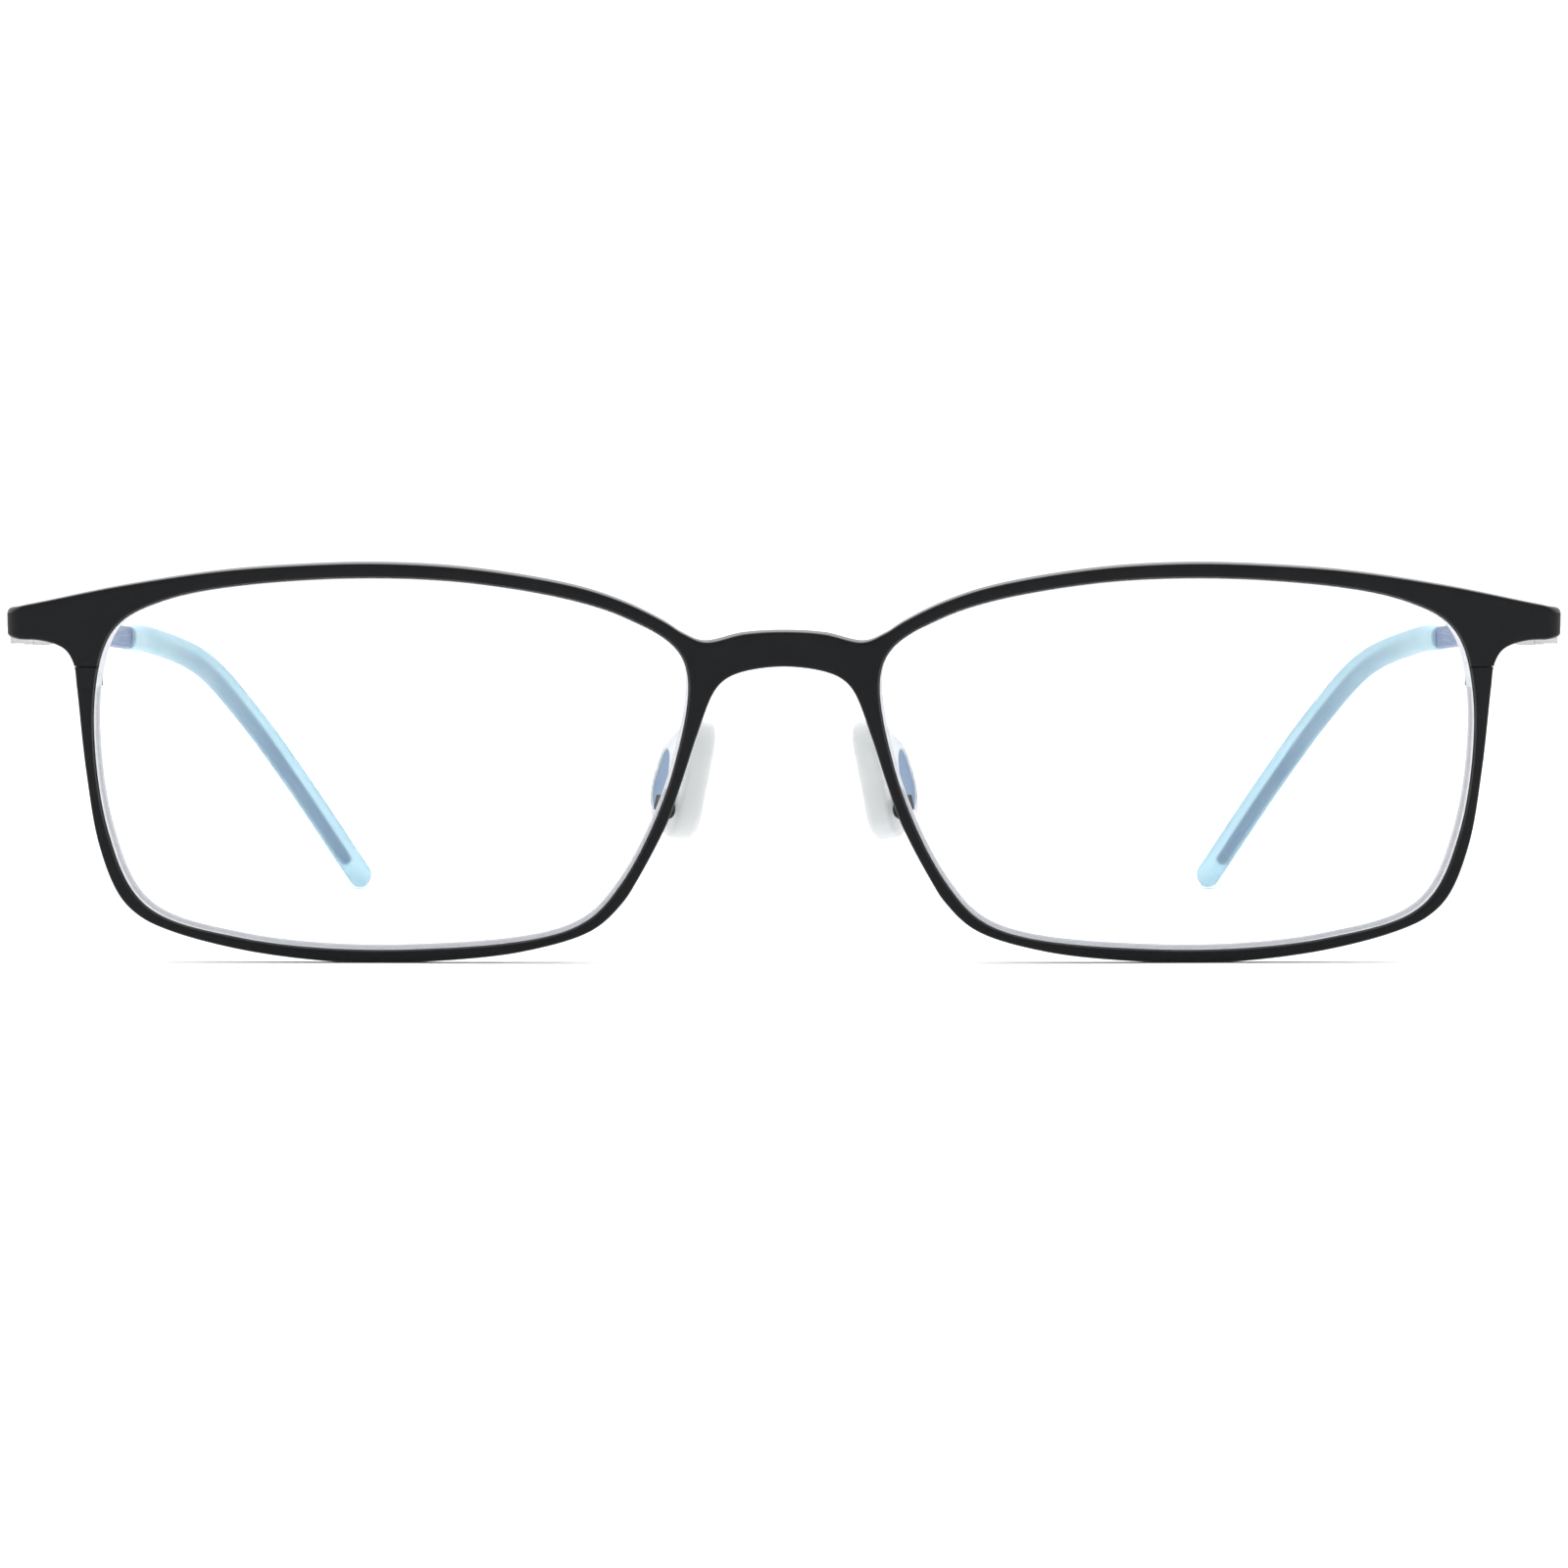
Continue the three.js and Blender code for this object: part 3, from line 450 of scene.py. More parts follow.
def front_shape():
    """The front as one mesh, and a material number for each face: 1 for a wall and 0 otherwise."""
    outer = evenly(front_outline(), OUTLINE_SPACING, closed=True)
    hole = evenly(catmull(APERTURE, closed=True), OUTLINE_SPACING, closed=True)
    loops = [outer, hole, hole * (-1, 1)]
    # What is inside the metal lies inside the outer loop and outside the holes.
    into_metal = [-outward(outer), outward(loops[1]), outward(loops[2])]
    borders = [loop + face_rounding(loop)[:, None] * into for loop, into in zip(loops, into_metal)]
    flat, triangles = filled(borders[0], borders[1:], FACE_SPACING)

    points, faces, start = [], [], 0
    ring_starts = []
    for number, (loop, into) in enumerate(zip(loops, into_metal)):
        count = len(loop)
        steps = wall_steps(loop, groove=number > 0)
        for inset, behind in steps:
            spots = loop + np.broadcast_to(inset, count)[:, None] * into
            points.append(on_front(spots[:, 0], spots[:, 1], behind))
        for low in range(start, start + (len(steps) - 1) * count, count):
            for i in range(count):
                after = (i + 1) % count
                faces.append((low + i, low + after, low + count + after, low + count + i))
        ring_starts.append((start, start + (len(steps) - 1) * count))
        start += len(steps) * count

    walls = len(faces)
    # The front and rear faces share their borders with the first and last rings.
    inner = flat[sum(map(len, loops)) :]
    points.append(on_front(inner[:, 0], inner[:, 1], np.zeros(len(inner))))
    points.append(on_front(inner[:, 0], inner[:, 1], sheet_thickness(inner[:, 0])))
    for layer in (0, 1):
        index_of = [np.arange(len(loop)) + ring_starts[i][layer] for i, loop in enumerate(loops)]
        index_of.append(np.arange(len(inner)) + start + layer * len(inner))
        index_of = np.concatenate(index_of)
        faces += [tuple(face) for face in index_of[triangles].tolist()]
    return (np.vstack(points), faces), [1] * walls + [0] * (len(faces) - walls)


def apply_modifiers(piece):
    """The piece's mesh as its modifiers leave it, with the modifiers gone."""
    graph = bpy.context.evaluated_depsgraph_get()
    made = bpy.data.meshes.new_from_object(piece.evaluated_get(graph))
    piece.modifiers.clear()
    piece.data = made


def slab(low, high):
    """A block in front coordinates, as a mesh object for cutting with."""
    corners = [(x, y, z) for x in (low[0], high[0]) for y in (low[1], high[1]) for z in (low[2], high[2])]
    sides = [(0, 1, 3, 2), (4, 6, 7, 5), (0, 4, 5, 1), (2, 3, 7, 6), (0, 2, 6, 4), (1, 5, 7, 3)]
    mesh = bpy.data.meshes.new("cutter")
    mesh.from_pydata(((tilted(corners) + ORIGIN_SHIFT) * MM).tolist(), [], sides)
    work = bmesh.new()
    work.from_mesh(mesh)
    bmesh.ops.recalc_face_normals(work, faces=work.faces)
    work.to_mesh(mesh)
    work.free()
    cutter = bpy.data.objects.new("cutter", mesh)
    bpy.context.scene.collection.objects.link(cutter)
    return cutter


def build_front(materials):
    """The front with its two split lines cut through the rims."""
    body, slots = front_shape()
    piece = add_piece(
        "front", body, "front", materials, ["front_frame"], slot_of_face=slots,
    )
    below, above = SPLIT_HEIGHT - SPLIT_GAP / 2, SPLIT_HEIGHT + SPLIT_GAP / 2
    for side in (1, -1):
        ends = sorted((side * SPLIT_FROM, side * SPLIT_TO))
        cutter = slab((ends[0], 0, below), (ends[1], SPLIT_DEPTH, above))
        cut = piece.modifiers.new("split", "BOOLEAN")
        cut.operation = "DIFFERENCE"
        cut.solver = "EXACT"
        cut.object = cutter
        apply_modifiers(piece)
        bpy.data.objects.remove(cutter)
    piece.data.set_sharp_from_angle(angle=math.radians(40))
    weigh_normals(piece)


# ---------------------------------------------------------------- lenses


def lens_shape():
    """A dished lens with a V-shaped bevel in the groove, and a material number for each face."""
    edge = evenly(catmull(APERTURE, closed=True), LENS_SPACING, closed=True)
    away = outward(edge)
    centre = np.array(LENS_CENTRE)
    ridge = RIM_DEPTH / 2
    # The ground chamfer at the rear is widest where the lens is thickest, below and at the side.
    share_of_growth = np.clip(0.6 - 0.85 * away[:, 1] + 0.2 * away[:, 0], 0, 1)
    chamfer = LENS_REAR_CHAMFER + LENS_REAR_CHAMFER_GROWTH * share_of_growth

    def ring(offset, depth, share=1.0):
        rim = edge + away * np.broadcast_to(offset, len(edge))[:, None]
        spots = centre + share * (rim - centre)
        return on_front(spots[:, 0], spots[:, 1], depth)

    shares = (0.03, 0.15, 0.3, 0.45, 0.6, 0.74, 0.86, 0.94, 0.98)
    rings = [ring(-LENS_GAP - LENS_FRONT_CHAMFER, LENS_SETBACK, share) for share in shares]
    clear_front = len(rings)
    rings.append(ring(-LENS_GAP - LENS_FRONT_CHAMFER, LENS_SETBACK))
    rings.append(ring(-LENS_GAP, LENS_SETBACK + LENS_FRONT_CHAMFER))
    rings.append(ring(-LENS_GAP, ridge - BEVEL_FOOT))
    rings.append(ring(BEVEL_HEIGHT, ridge))
    rings.append(ring(-LENS_GAP, ridge + BEVEL_FOOT))
    rings.append(ring(-LENS_GAP, LENS_BACK - chamfer))
    rings.append(ring(-LENS_GAP - chamfer, LENS_BACK))
    clear_rear = len(rings) - 1
    rings += [ring(-LENS_GAP - chamfer, LENS_BACK, share) for share in reversed(shares)]
    bands = [0] * len(rings)
    bands[clear_front + 1 : clear_rear] = [1] * (clear_rear - clear_front - 1)
    bands[clear_rear] = 2
    return skin(rings), [*bands, 0] * len(edge)


# ---------------------------------------------------------------- temples and tips

bladeline = [BLADE_START + (BLADE_END - BLADE_START) * share for share in (0, 0.33, 0.66, 1)]
TEMPLE_PATH = catmull([*bladeline, *TIP_LINE], per_segment=80)
TEMPLE_LENGTH = lengths(TEMPLE_PATH)[-1]
BLADE_LENGTH = float(np.interp(BLADE_END[1], TEMPLE_PATH[:, 1], lengths(TEMPLE_PATH)))


def frames_along(path, where):
    """Places, ways out and ways up of a body that runs along a path."""
    here = at_length(path, where)
    step = 0.05
    forward = at_length(path, where + step) - at_length(path, where - step)
    forward /= np.linalg.norm(forward, axis=1)[:, None]
    out = np.cross(forward, (0, 0, 1))
    out /= np.linalg.norm(out, axis=1)[:, None]
    up = np.cross(out, forward)
    return here, out, up


def rounded_section(half_out, half_up, radius, corner_steps=6):
    """Points round a rectangle with rounded corners."""
    radius = min(radius, half_out, half_up)
    points = []
    for number, (sx, sy) in enumerate(((1, 1), (-1, 1), (-1, -1), (1, -1))):
        centre = (sx * (half_out - radius), sy * (half_up - radius))
        points += corner_arc(centre, radius, 90 * number, 90 * number + 90, corner_steps)
    return np.array(points)


def oval_section(half_out, half_up, squareness, sides=40):
    """Points round an oval. Squareness 2 is an ellipse, and more fills out the corners."""
    angles = np.linspace(0, 2 * math.pi, sides, endpoint=False)
    c, s = np.cos(angles), np.sin(angles)
    power = 2 / squareness
    return np.column_stack([
        half_out * np.sign(c) * np.abs(c) ** power,
        half_up * np.sign(s) * np.abs(s) ** power,
    ])


def swept(path, where, sections):
    """A closed body through one section at each given distance along a path."""
    rings = []
    for here, out, up, section in zip(*frames_along(path, np.asarray(where)), sections):
        rings.append(here + section[:, :1] * out + section[:, 1:] * up)
    return skin(rings)


def blade_height(distance):
    """The blade's height at a distance along the temple."""
    share = min(1, distance / BLADE_LENGTH)
    return BLADE_FRONT_HEIGHT + (BLADE_REAR_HEIGHT - BLADE_FRONT_HEIGHT) * share


def temple_shape():
    """The blade, and the thin core that it runs on as inside the sleeve."""
    where, sections = [], []

    def station(distance, half_out, half_up, radius, shift=0.0):
        where.append(distance)
        section = rounded_section(half_out, half_up, radius)
        sections.append(section + np.array(CORE_SHIFT) * shift)

    # The front end is rounded off, and the rear end steps down to the core.
    for turn in np.radians((10, 35, 60, 90)):
        inset = BLADE_END_ROUND * (1 - math.sin(turn))
        distance = BLADE_END_ROUND * (1 - math.cos(turn))
        half_up = BLADE_FRONT_HEIGHT / 2 - inset
        station(distance, BLADE_THICKNESS / 2 - inset * 0.6, half_up, BLADE_CORNER)
    for distance in np.linspace(1, BLADE_LENGTH - SHOULDER, 60):
        station(distance, BLADE_THICKNESS / 2, blade_height(distance) / 2, BLADE_CORNER)
    for inset in (0.05, 0.15):
        distance = BLADE_LENGTH - SHOULDER + inset
        half_up = blade_height(distance) / 2 - inset
        station(distance, BLADE_THICKNESS / 2 - inset, half_up, BLADE_CORNER - 0.05)
    core_end = CORE_END_SHARE * TEMPLE_LENGTH
    for share in np.linspace(0, 1, 60):
        distance = BLADE_LENGTH - 0.05 + (core_end - BLADE_LENGTH) * share
        half_up = CORE_HEIGHT / 2 * (1 - CORE_TAPER * share)
        station(distance, CORE_WIDTH / 2, half_up, CORE_CORNER, min(1, share * 3.5))
    for turn in np.radians((30, 60, 80)):
        shrink = math.cos(turn)
        distance = core_end - 0.05 + 0.4 * math.sin(turn)
        half_up = CORE_HEIGHT / 2 * (1 - CORE_TAPER) * shrink
        station(distance, CORE_WIDTH / 2 * shrink, half_up, CORE_CORNER, 1)
    points, faces = swept(TEMPLE_PATH, where, sections)
    return points + HINGE_AT, faces


def tip_shape():
    """The sleeve, with a rounded mouth and a domed end."""
    where, sections = [], []
    start = BLADE_LENGTH + 0.15
    cap_start = TEMPLE_LENGTH - TIP_CAP

    def station(distance, scale):
        swell = 1 - TIP_MOUTH_SHARE * (1 - smoothstep(0, TIP_MOUTH_LENGTH, distance - start))
        half_out = TIP_THICKNESS / 2 * swell * scale
        half_up = TIP_HEIGHT / 2 * swell * scale
        where.append(distance)
        sections.append(oval_section(half_out, half_up, TIP_SQUARENESS))

    for turn in np.radians((0, 30, 60, 90)):
        inset = TIP_LIP * (1 - math.sin(turn))
        station(start + TIP_LIP * (1 - math.cos(turn)), 1 - inset / (TIP_THICKNESS / 2))
    for distance in np.linspace(start + 0.6, cap_start, 110):
        station(distance, 1)
    for turn in np.radians((15, 30, 45, 58, 70, 80, 87)):
        station(cap_start + TIP_CAP * math.sin(turn), math.cos(turn) ** 0.8)
    points, faces = swept(TEMPLE_PATH, where, sections)
    return points + HINGE_AT, faces


# ---------------------------------------------------------------- nose pads and their arms

PAD_TURN = Matrix.Rotation(-PAD_SPLAY, 3, "Z") @ Matrix.Rotation(-PAD_LEAN, 3, "Y")


def from_pad(points):
    """Points measured from the pad's middle, turned and put in their place."""
    turn = np.array(PAD_TURN)
    return np.asarray(points, float) @ turn.T + np.array(PAD_CENTRE)


def seen_from(middle, loop, ways):
    """How far the loop is from its middle in each of the given directions, as steps that way."""
    rays = loop - middle
    turns = np.arctan2(rays[:, 1], rays[:, 0])
    wanted = np.arctan2(ways[:, 1], ways[:, 0])
    reach = np.interp(wanted, np.sort(turns), np.hypot(*rays.T)[np.argsort(turns)], period=2 * math.pi)
    return np.column_stack([reach * np.cos(wanted), reach * np.sin(wanted)])


def pad_shape():
    """A pillow that is crowned towards the nose, with a pocket in the other side."""
    outline = evenly(catmull(PAD_OUTLINE, closed=True), PAD_SPACING, closed=True)
    away = outward(outline)
    half = PAD_THICKNESS / 2
    floor = half - POCKET_DEPTH
    middle = np.array(CORE_MIDDLE)
    core = evenly(catmull(CORE_OUTLINE, closed=True), CORE_SPACING, closed=True)
    core += outward(core) * POCKET_GAP
    wall = middle + seen_from(middle, core, outline - middle)
    rings = []

    def ring(spots, depth):
        rings.append(np.column_stack([np.full(len(spots), depth), spots]))

    for share in (0.05, 0.3, 0.55, 0.75, 0.9):
        ring((outline - away * PAD_ROUND) * share, -half + PAD_DOME * share**2)
    for turn in np.radians((0, 15, 30, 45, 60, 75, 90)):
        inset, depth = PAD_ROUND * (1 - math.sin(turn)), PAD_ROUND * (1 - math.cos(turn))
        ring(outline - away * inset, -half + PAD_DOME + depth)
    for turn in np.radians((90, 72, 54, 36, 18, 0)):
        inset, depth = PAD_REAR_ROUND * (1 - math.sin(turn)), PAD_REAR_ROUND * (1 - math.cos(turn))
        ring(outline - away * inset, half - depth)
    for grow, depth in ((1, 0), (0.3, 0.3), (0, 1)):
        ring(wall + outward(wall) * grow * POCKET_LIP, half - depth * POCKET_LIP)
    for shrink, height in ((0, 1), (0.3, 0.3), (1, 0)):
        ring(wall - outward(wall) * shrink * POCKET_LIP, floor + height * POCKET_LIP)
    for share in (0.8, 0.5, 0.2):
        ring(middle + (wall - middle) * share, floor)
    points, faces = skin(rings)
    return from_pad(points), faces


def arm_shape():
    """A bent wire from the rim, with a solder foot, to the small box that holds the pad's stem."""
    foot_x, foot_z = ARM_FOOT
    cheek_x = (BOX_START + BOX_END) / 2 + 0.15
    cheek_y = STEM_Y - BOX_INNER - BOX_CHEEK
    in_rim, rim_back = tilted([
        (foot_x, face_depth(foot_x) + RIM_DEPTH - 0.1, foot_z),
        (foot_x, face_depth(foot_x) + RIM_DEPTH + 0.3, foot_z),
    ])
    cheek, in_cheek = from_pad([(cheek_x, cheek_y, STEM_Z), (cheek_x, cheek_y + 0.2, STEM_Z)])
    path = catmull([
        in_rim,
        rim_back,
        rim_back + (-0.25, 0.6, 0.15),
        rim_back + (cheek - rim_back) * 0.35 + (-0.7, 0, -0.05),
        rim_back + (cheek - rim_back) * 0.65 + (-0.7, 0, 0.2),
        cheek + (-0.3, -0.2, 0),
        in_cheek,
    ])
    where = np.linspace(0.02, lengths(path)[-1] - 0.02, 60)
    radii = ARM_RADIUS + SOLDER_SWELL * np.exp(-((where / SOLDER_LENGTH) ** 2))
    return swept(path, where, [oval_section(radius, radius, 2, 20) for radius in radii])


def box_shape():
    """The small box: two cheeks joined at the back, with rounded edges."""
    outer = BOX_INNER + BOX_CHEEK
    room_end = BOX_END - BOX_CHEEK
    plan = [
        (BOX_START, -outer), (BOX_END, -outer), (BOX_END, outer), (BOX_START, outer),
        (BOX_START, BOX_INNER), (room_end, BOX_INNER), (room_end, -BOX_INNER), (BOX_START, -BOX_INNER),
    ]
    work = bmesh.new()
    lower = [work.verts.new((x, STEM_Y + y, STEM_Z - BOX_HEIGHT / 2)) for x, y in plan]
    raised = bmesh.ops.extrude_face_region(work, geom=[work.faces.new(lower)])
    top = [item for item in raised["geom"] if isinstance(item, bmesh.types.BMVert)]
    bmesh.ops.translate(work, verts=top, vec=(0, 0, BOX_HEIGHT))
    bmesh.ops.bevel(
        work, geom=list(work.edges), offset=BOX_ROUND, segments=3, profile=0.5, affect="EDGES",
    )
    work.verts.index_update()
    points = np.array([vert.co[:] for vert in work.verts])
    faces = [tuple(vert.index for vert in face.verts) for face in work.faces]
    work.free()
    return from_pad(points), faces


# ---------------------------------------------------------------- materials


def new_material(name):
    """A material, its nodes and links, and its main shader."""
    made = bpy.data.materials.new(name)
    made.use_nodes = True
    return made, made.node_tree.nodes, made.node_tree.links, made.node_tree.nodes["Principled BSDF"]


def noise(nodes, links, size, stretch=(1, 1, 1), detail=3.0, roughness=0.55):
    """Noise in object space whose grains are about size millimetres across."""
    where = nodes.new("ShaderNodeTexCoord")
    mapping = nodes.new("ShaderNodeMapping")
    mapping.inputs["Scale"].default_value = stretch
    texture = nodes.new("ShaderNodeTexNoise")
    texture.inputs["Scale"].default_value = 1 / (size * MM)
    texture.inputs["Detail"].default_value = detail
    texture.inputs["Roughness"].default_value = roughness
    links.new(where.outputs["Object"], mapping.inputs["Vector"])
    links.new(mapping.outputs["Vector"], texture.inputs["Vector"])
    return texture.outputs["Fac"]


def spread(nodes, links, value, low, high):
    """The value's middle range stretched to run from low to high."""
    ranged = nodes.new("ShaderNodeMapRange")
    ranged.inputs["From Min"].default_value = 0.3
    ranged.inputs["From Max"].default_value = 0.7
    ranged.inputs["To Min"].default_value = low
    ranged.inputs["To Max"].default_value = high
    links.new(value, ranged.inputs["Value"])
    return ranged.outputs["Result"]


def colours(nodes, links, value, *stops):
    """A colour ramp over the value, with evenly spread stops."""
    ramp = nodes.new("ShaderNodeValToRGB")
    elements = ramp.color_ramp.elements
    while len(elements) < len(stops):
        elements.new(0.5)
    for number, colour in enumerate(stops):
        elements[number].position = 0.3 + 0.4 * number / (len(stops) - 1)
        elements[number].color = (*colour, 1)
    links.new(value, ramp.inputs["Fac"])
    return ramp.outputs["Color"]


def bump(nodes, links, value, height, strength, shader):
    """Relief of the given height in millimetres."""
    relief = nodes.new("ShaderNodeBump")
    relief.inputs["Strength"].default_value = strength
    relief.inputs["Distance"].default_value = height * MM
    links.new(value, relief.inputs["Height"])
    links.new(relief.outputs["Normal"], shader.inputs["Normal"])


def black_paint(name, roughness, gloss):
    """Finely grained black paint."""
    made, nodes, links, shader = new_material(name)
    broad = noise(nodes, links, 6)
    grain = noise(nodes, links, 0.12, detail=2)
    tint = colours(nodes, links, broad, (0.0072, 0.0078, 0.009), (0.0098, 0.0104, 0.0116))
    links.new(tint, shader.inputs["Base Color"])
    links.new(spread(nodes, links, grain, roughness, roughness + 0.12), shader.inputs["Roughness"])
    bump(nodes, links, grain, 0.012, 0.5, shader)
    shader.inputs["Metallic"].default_value = 0.0
    shader.inputs["Specular IOR Level"].default_value = gloss
    return made


def satin_blue(name, dark, pale):
    """Blue coated metal, brushed along its length."""
    made, nodes, links, shader = new_material(name)
    brushed = noise(nodes, links, 0.25, stretch=(1, 0.03, 1), detail=4)
    broad = noise(nodes, links, 8)
    tint = colours(nodes, links, broad, dark, pale)
    links.new(tint, shader.inputs["Base Color"])
    links.new(spread(nodes, links, brushed, 0.3, 0.45), shader.inputs["Roughness"])
    bump(nodes, links, brushed, 0.006, 0.5, shader)
    shader.inputs["Metallic"].default_value = 0.7
    return made


def silver():
    """Brushed metal with slightly uneven brightness."""
    made, nodes, links, shader = new_material("satin_silver_metal")
    brushed = noise(nodes, links, 0.18, stretch=(1, 1, 0.15), detail=3)
    broad = noise(nodes, links, 1.5)
    tint = colours(nodes, links, broad, (0.72, 0.73, 0.75), (0.84, 0.85, 0.87))
    links.new(tint, shader.inputs["Base Color"])
    links.new(spread(nodes, links, brushed, 0.22, 0.36), shader.inputs["Roughness"])
    bump(nodes, links, brushed, 0.004, 0.4, shader)
    shader.inputs["Metallic"].default_value = 1.0
    return made


SLEEVE_CLEARING = 32


def aqua_silicone():
    """Milky at the mouth, and clear enough further on that the metal core shows."""
    made, nodes, links, shader = new_material("aqua_silicone")
    cloud = noise(nodes, links, 4)
    skin_grain = noise(nodes, links, 0.2, detail=2)
    tint = colours(nodes, links, cloud, (0.48, 0.72, 0.80), (0.56, 0.78, 0.85))
    links.new(tint, shader.inputs["Base Color"])
    links.new(spread(nodes, links, skin_grain, 0.46, 0.54), shader.inputs["Roughness"])
    bump(nodes, links, skin_grain, 0.008, 0.3, shader)
    where = nodes.new("ShaderNodeTexCoord")
    split = nodes.new("ShaderNodeSeparateXYZ")
    clearing = nodes.new("ShaderNodeMapRange")
    mouth = (HINGE_AT[1] + BLADE_END[1] + ORIGIN_SHIFT[1]) * MM
    clearing.inputs["From Min"].default_value = mouth
    clearing.inputs["From Max"].default_value = mouth + SLEEVE_CLEARING * MM
    clearing.inputs["To Min"].default_value = 0.15
    clearing.inputs["To Max"].default_value = 0.7
    links.new(where.outputs["Object"], split.inputs["Vector"])
    links.new(split.outputs["Y"], clearing.inputs["Value"])
    links.new(clearing.outputs["Result"], shader.inputs["Transmission Weight"])
    shader.inputs["IOR"].default_value = 1.25
    return made


def pad_silicone():
    """Almost white silicone that lets a little light through."""
    made, nodes, links, shader = new_material("clear_white_silicone")
    cloud = noise(nodes, links, 3)
    skin_grain = noise(nodes, links, 0.2, detail=2)
    tint = colours(nodes, links, cloud, (0.92, 0.95, 0.955), (0.97, 0.98, 0.98))
    links.new(tint, shader.inputs["Base Color"])
    links.new(spread(nodes, links, skin_grain, 0.34, 0.44), shader.inputs["Roughness"])
    bump(nodes, links, skin_grain, 0.008, 0.3, shader)
    shader.inputs["Transmission Weight"].default_value = 0.3
    shader.inputs["IOR"].default_value = 1.3
    return made


def coated_lens():
    """A thin clear sheet: it lets light straight through and has a faint bluish reflection."""
    made, nodes, links, shader = new_material("coated_lens")
    smear = noise(nodes, links, 14, detail=2)
    tint = colours(nodes, links, smear, (0.62, 0.70, 1.0), (0.80, 0.86, 1.0))
    links.new(tint, shader.inputs["Base Color"])
    links.new(spread(nodes, links, smear, 0.01, 0.04), shader.inputs["Roughness"])
    shader.inputs["Metallic"].default_value = 1.0
    clear = nodes.new("ShaderNodeBsdfTransparent")
    clear_tint = colours(nodes, links, smear, (0.988, 0.992, 1.0), (0.994, 0.997, 1.0))
    links.new(clear_tint, clear.inputs["Color"])
    # Facing is the same from inside the lens, so its ground edge isn't cut off from the light.
    facing = nodes.new("ShaderNodeLayerWeight")
    steep = nodes.new("ShaderNodeMath")
    steep.operation = "POWER"
    steep.inputs[1].default_value = 5
    gloss = nodes.new("ShaderNodeMapRange")
    gloss.inputs["To Min"].default_value = 0.03
    gloss.inputs["To Max"].default_value = 0.45
    both = nodes.new("ShaderNodeMixShader")
    links.new(facing.outputs["Facing"], steep.inputs[0])
    links.new(steep.outputs["Value"], gloss.inputs["Value"])
    links.new(gloss.outputs["Result"], both.inputs["Fac"])
    links.new(clear.outputs["BSDF"], both.inputs[1])
    links.new(shader.outputs["BSDF"], both.inputs[2])
    links.new(both.outputs["Shader"], nodes["Material Output"].inputs["Surface"])
    return made


def ground_edge(name, dark, pale):
    """The frosted surface that grinding leaves on a lens."""
    made, nodes, links, shader = new_material(name)
    grain = noise(nodes, links, 0.15, detail=2)
    tint = colours(nodes, links, grain, dark, pale)
    links.new(tint, shader.inputs["Base Color"])
    links.new(spread(nodes, links, grain, 0.45, 0.65), shader.inputs["Roughness"])
    bump(nodes, links, grain, 0.01, 0.5, shader)
    return made


MATERIAL = {
    "frame_black": black_paint("matte_black_paint", 0.46, 0.15),
    "temple_blue": satin_blue("satin_blue_metal", (0.046, 0.105, 0.235), (0.064, 0.13, 0.275)),
    "silver": silver(),
    "tip_aqua": aqua_silicone(),
    "pad_white": pad_silicone(),
    "lens": coated_lens(),
}
# The front's narrow walls are smoother than its blasted faces, so they catch the light.
WALL_BLACK = black_paint("satin_black_paint", 0.26, 0.6)
# The pads' cores are seen through a film of silicone, which makes them paler.
PAD_CORE = satin_blue("veiled_blue_metal", (0.19, 0.29, 0.42), (0.27, 0.37, 0.50))
GROUND_EDGE = ground_edge("ground_lens_edge", (0.82, 0.82, 0.83), (0.95, 0.95, 0.96))
# The rear chamfer has the same ground finish as the edge, painted a little darker than it: painted shade.
SHADED_GROUND_CHAMFER = ground_edge("ground_lens_chamfer_painted_shade", (0.80, 0.80, 0.81), (0.90, 0.90, 0.91))

# ---------------------------------------------------------------- pieces

build_front([MATERIAL["frame_black"], WALL_BLACK])
lens_body, lens_slots = lens_shape()
for side_name, side in (("left", 1), ("right", -1)):
    add_piece(
        "clear_lens_" + side_name, lens_body, "front",
        [MATERIAL["lens"], GROUND_EDGE, SHADED_GROUND_CHAMFER], ["lens_" + side_name], side, lens_slots,
    )
    add_piece(
        "temple_blade_" + side_name, temple_shape(), "temple_" + side_name,
        [MATERIAL["temple_blue"]], ["temple_" + side_name], side,
    )
    add_piece(
        "tip_sleeve_" + side_name, tip_shape(), "temple_" + side_name,
        [MATERIAL["tip_aqua"]], ["temple_tip_" + side_name], side,
    )
    add_piece(
        "pad_" + side_name, pad_shape(), "pad_" + side_name,
        [MATERIAL["pad_white"]], ["nose_pad_" + side_name], side,
    )
    weigh_normals(add_piece(
        "pad_wire_" + side_name, joined(arm_shape(), box_shape()), "front",
        [MATERIAL["frame_black"]], ["pad_arm_" + side_name], side,
    ))


def soften(node, width):
    """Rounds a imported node's edges as it is shown. Its own mesh stays as packed."""
    weld = node.modifiers.new("weld", "WELD")
    weld.merge_threshold = 0.002 * MM
    planar = node.modifiers.new("planar", "DECIMATE")
    planar.decimate_type = "DISSOLVE"
    planar.angle_limit = math.radians(2)
    bevel = node.modifiers.new("bevel", "BEVEL")
    bevel.width = width * MM
    bevel.segments = 2
    bevel.limit_method = "ANGLE"
    bevel.angle_limit = math.radians(35)
    bevel.harden_normals = False
    weigh_normals(node)


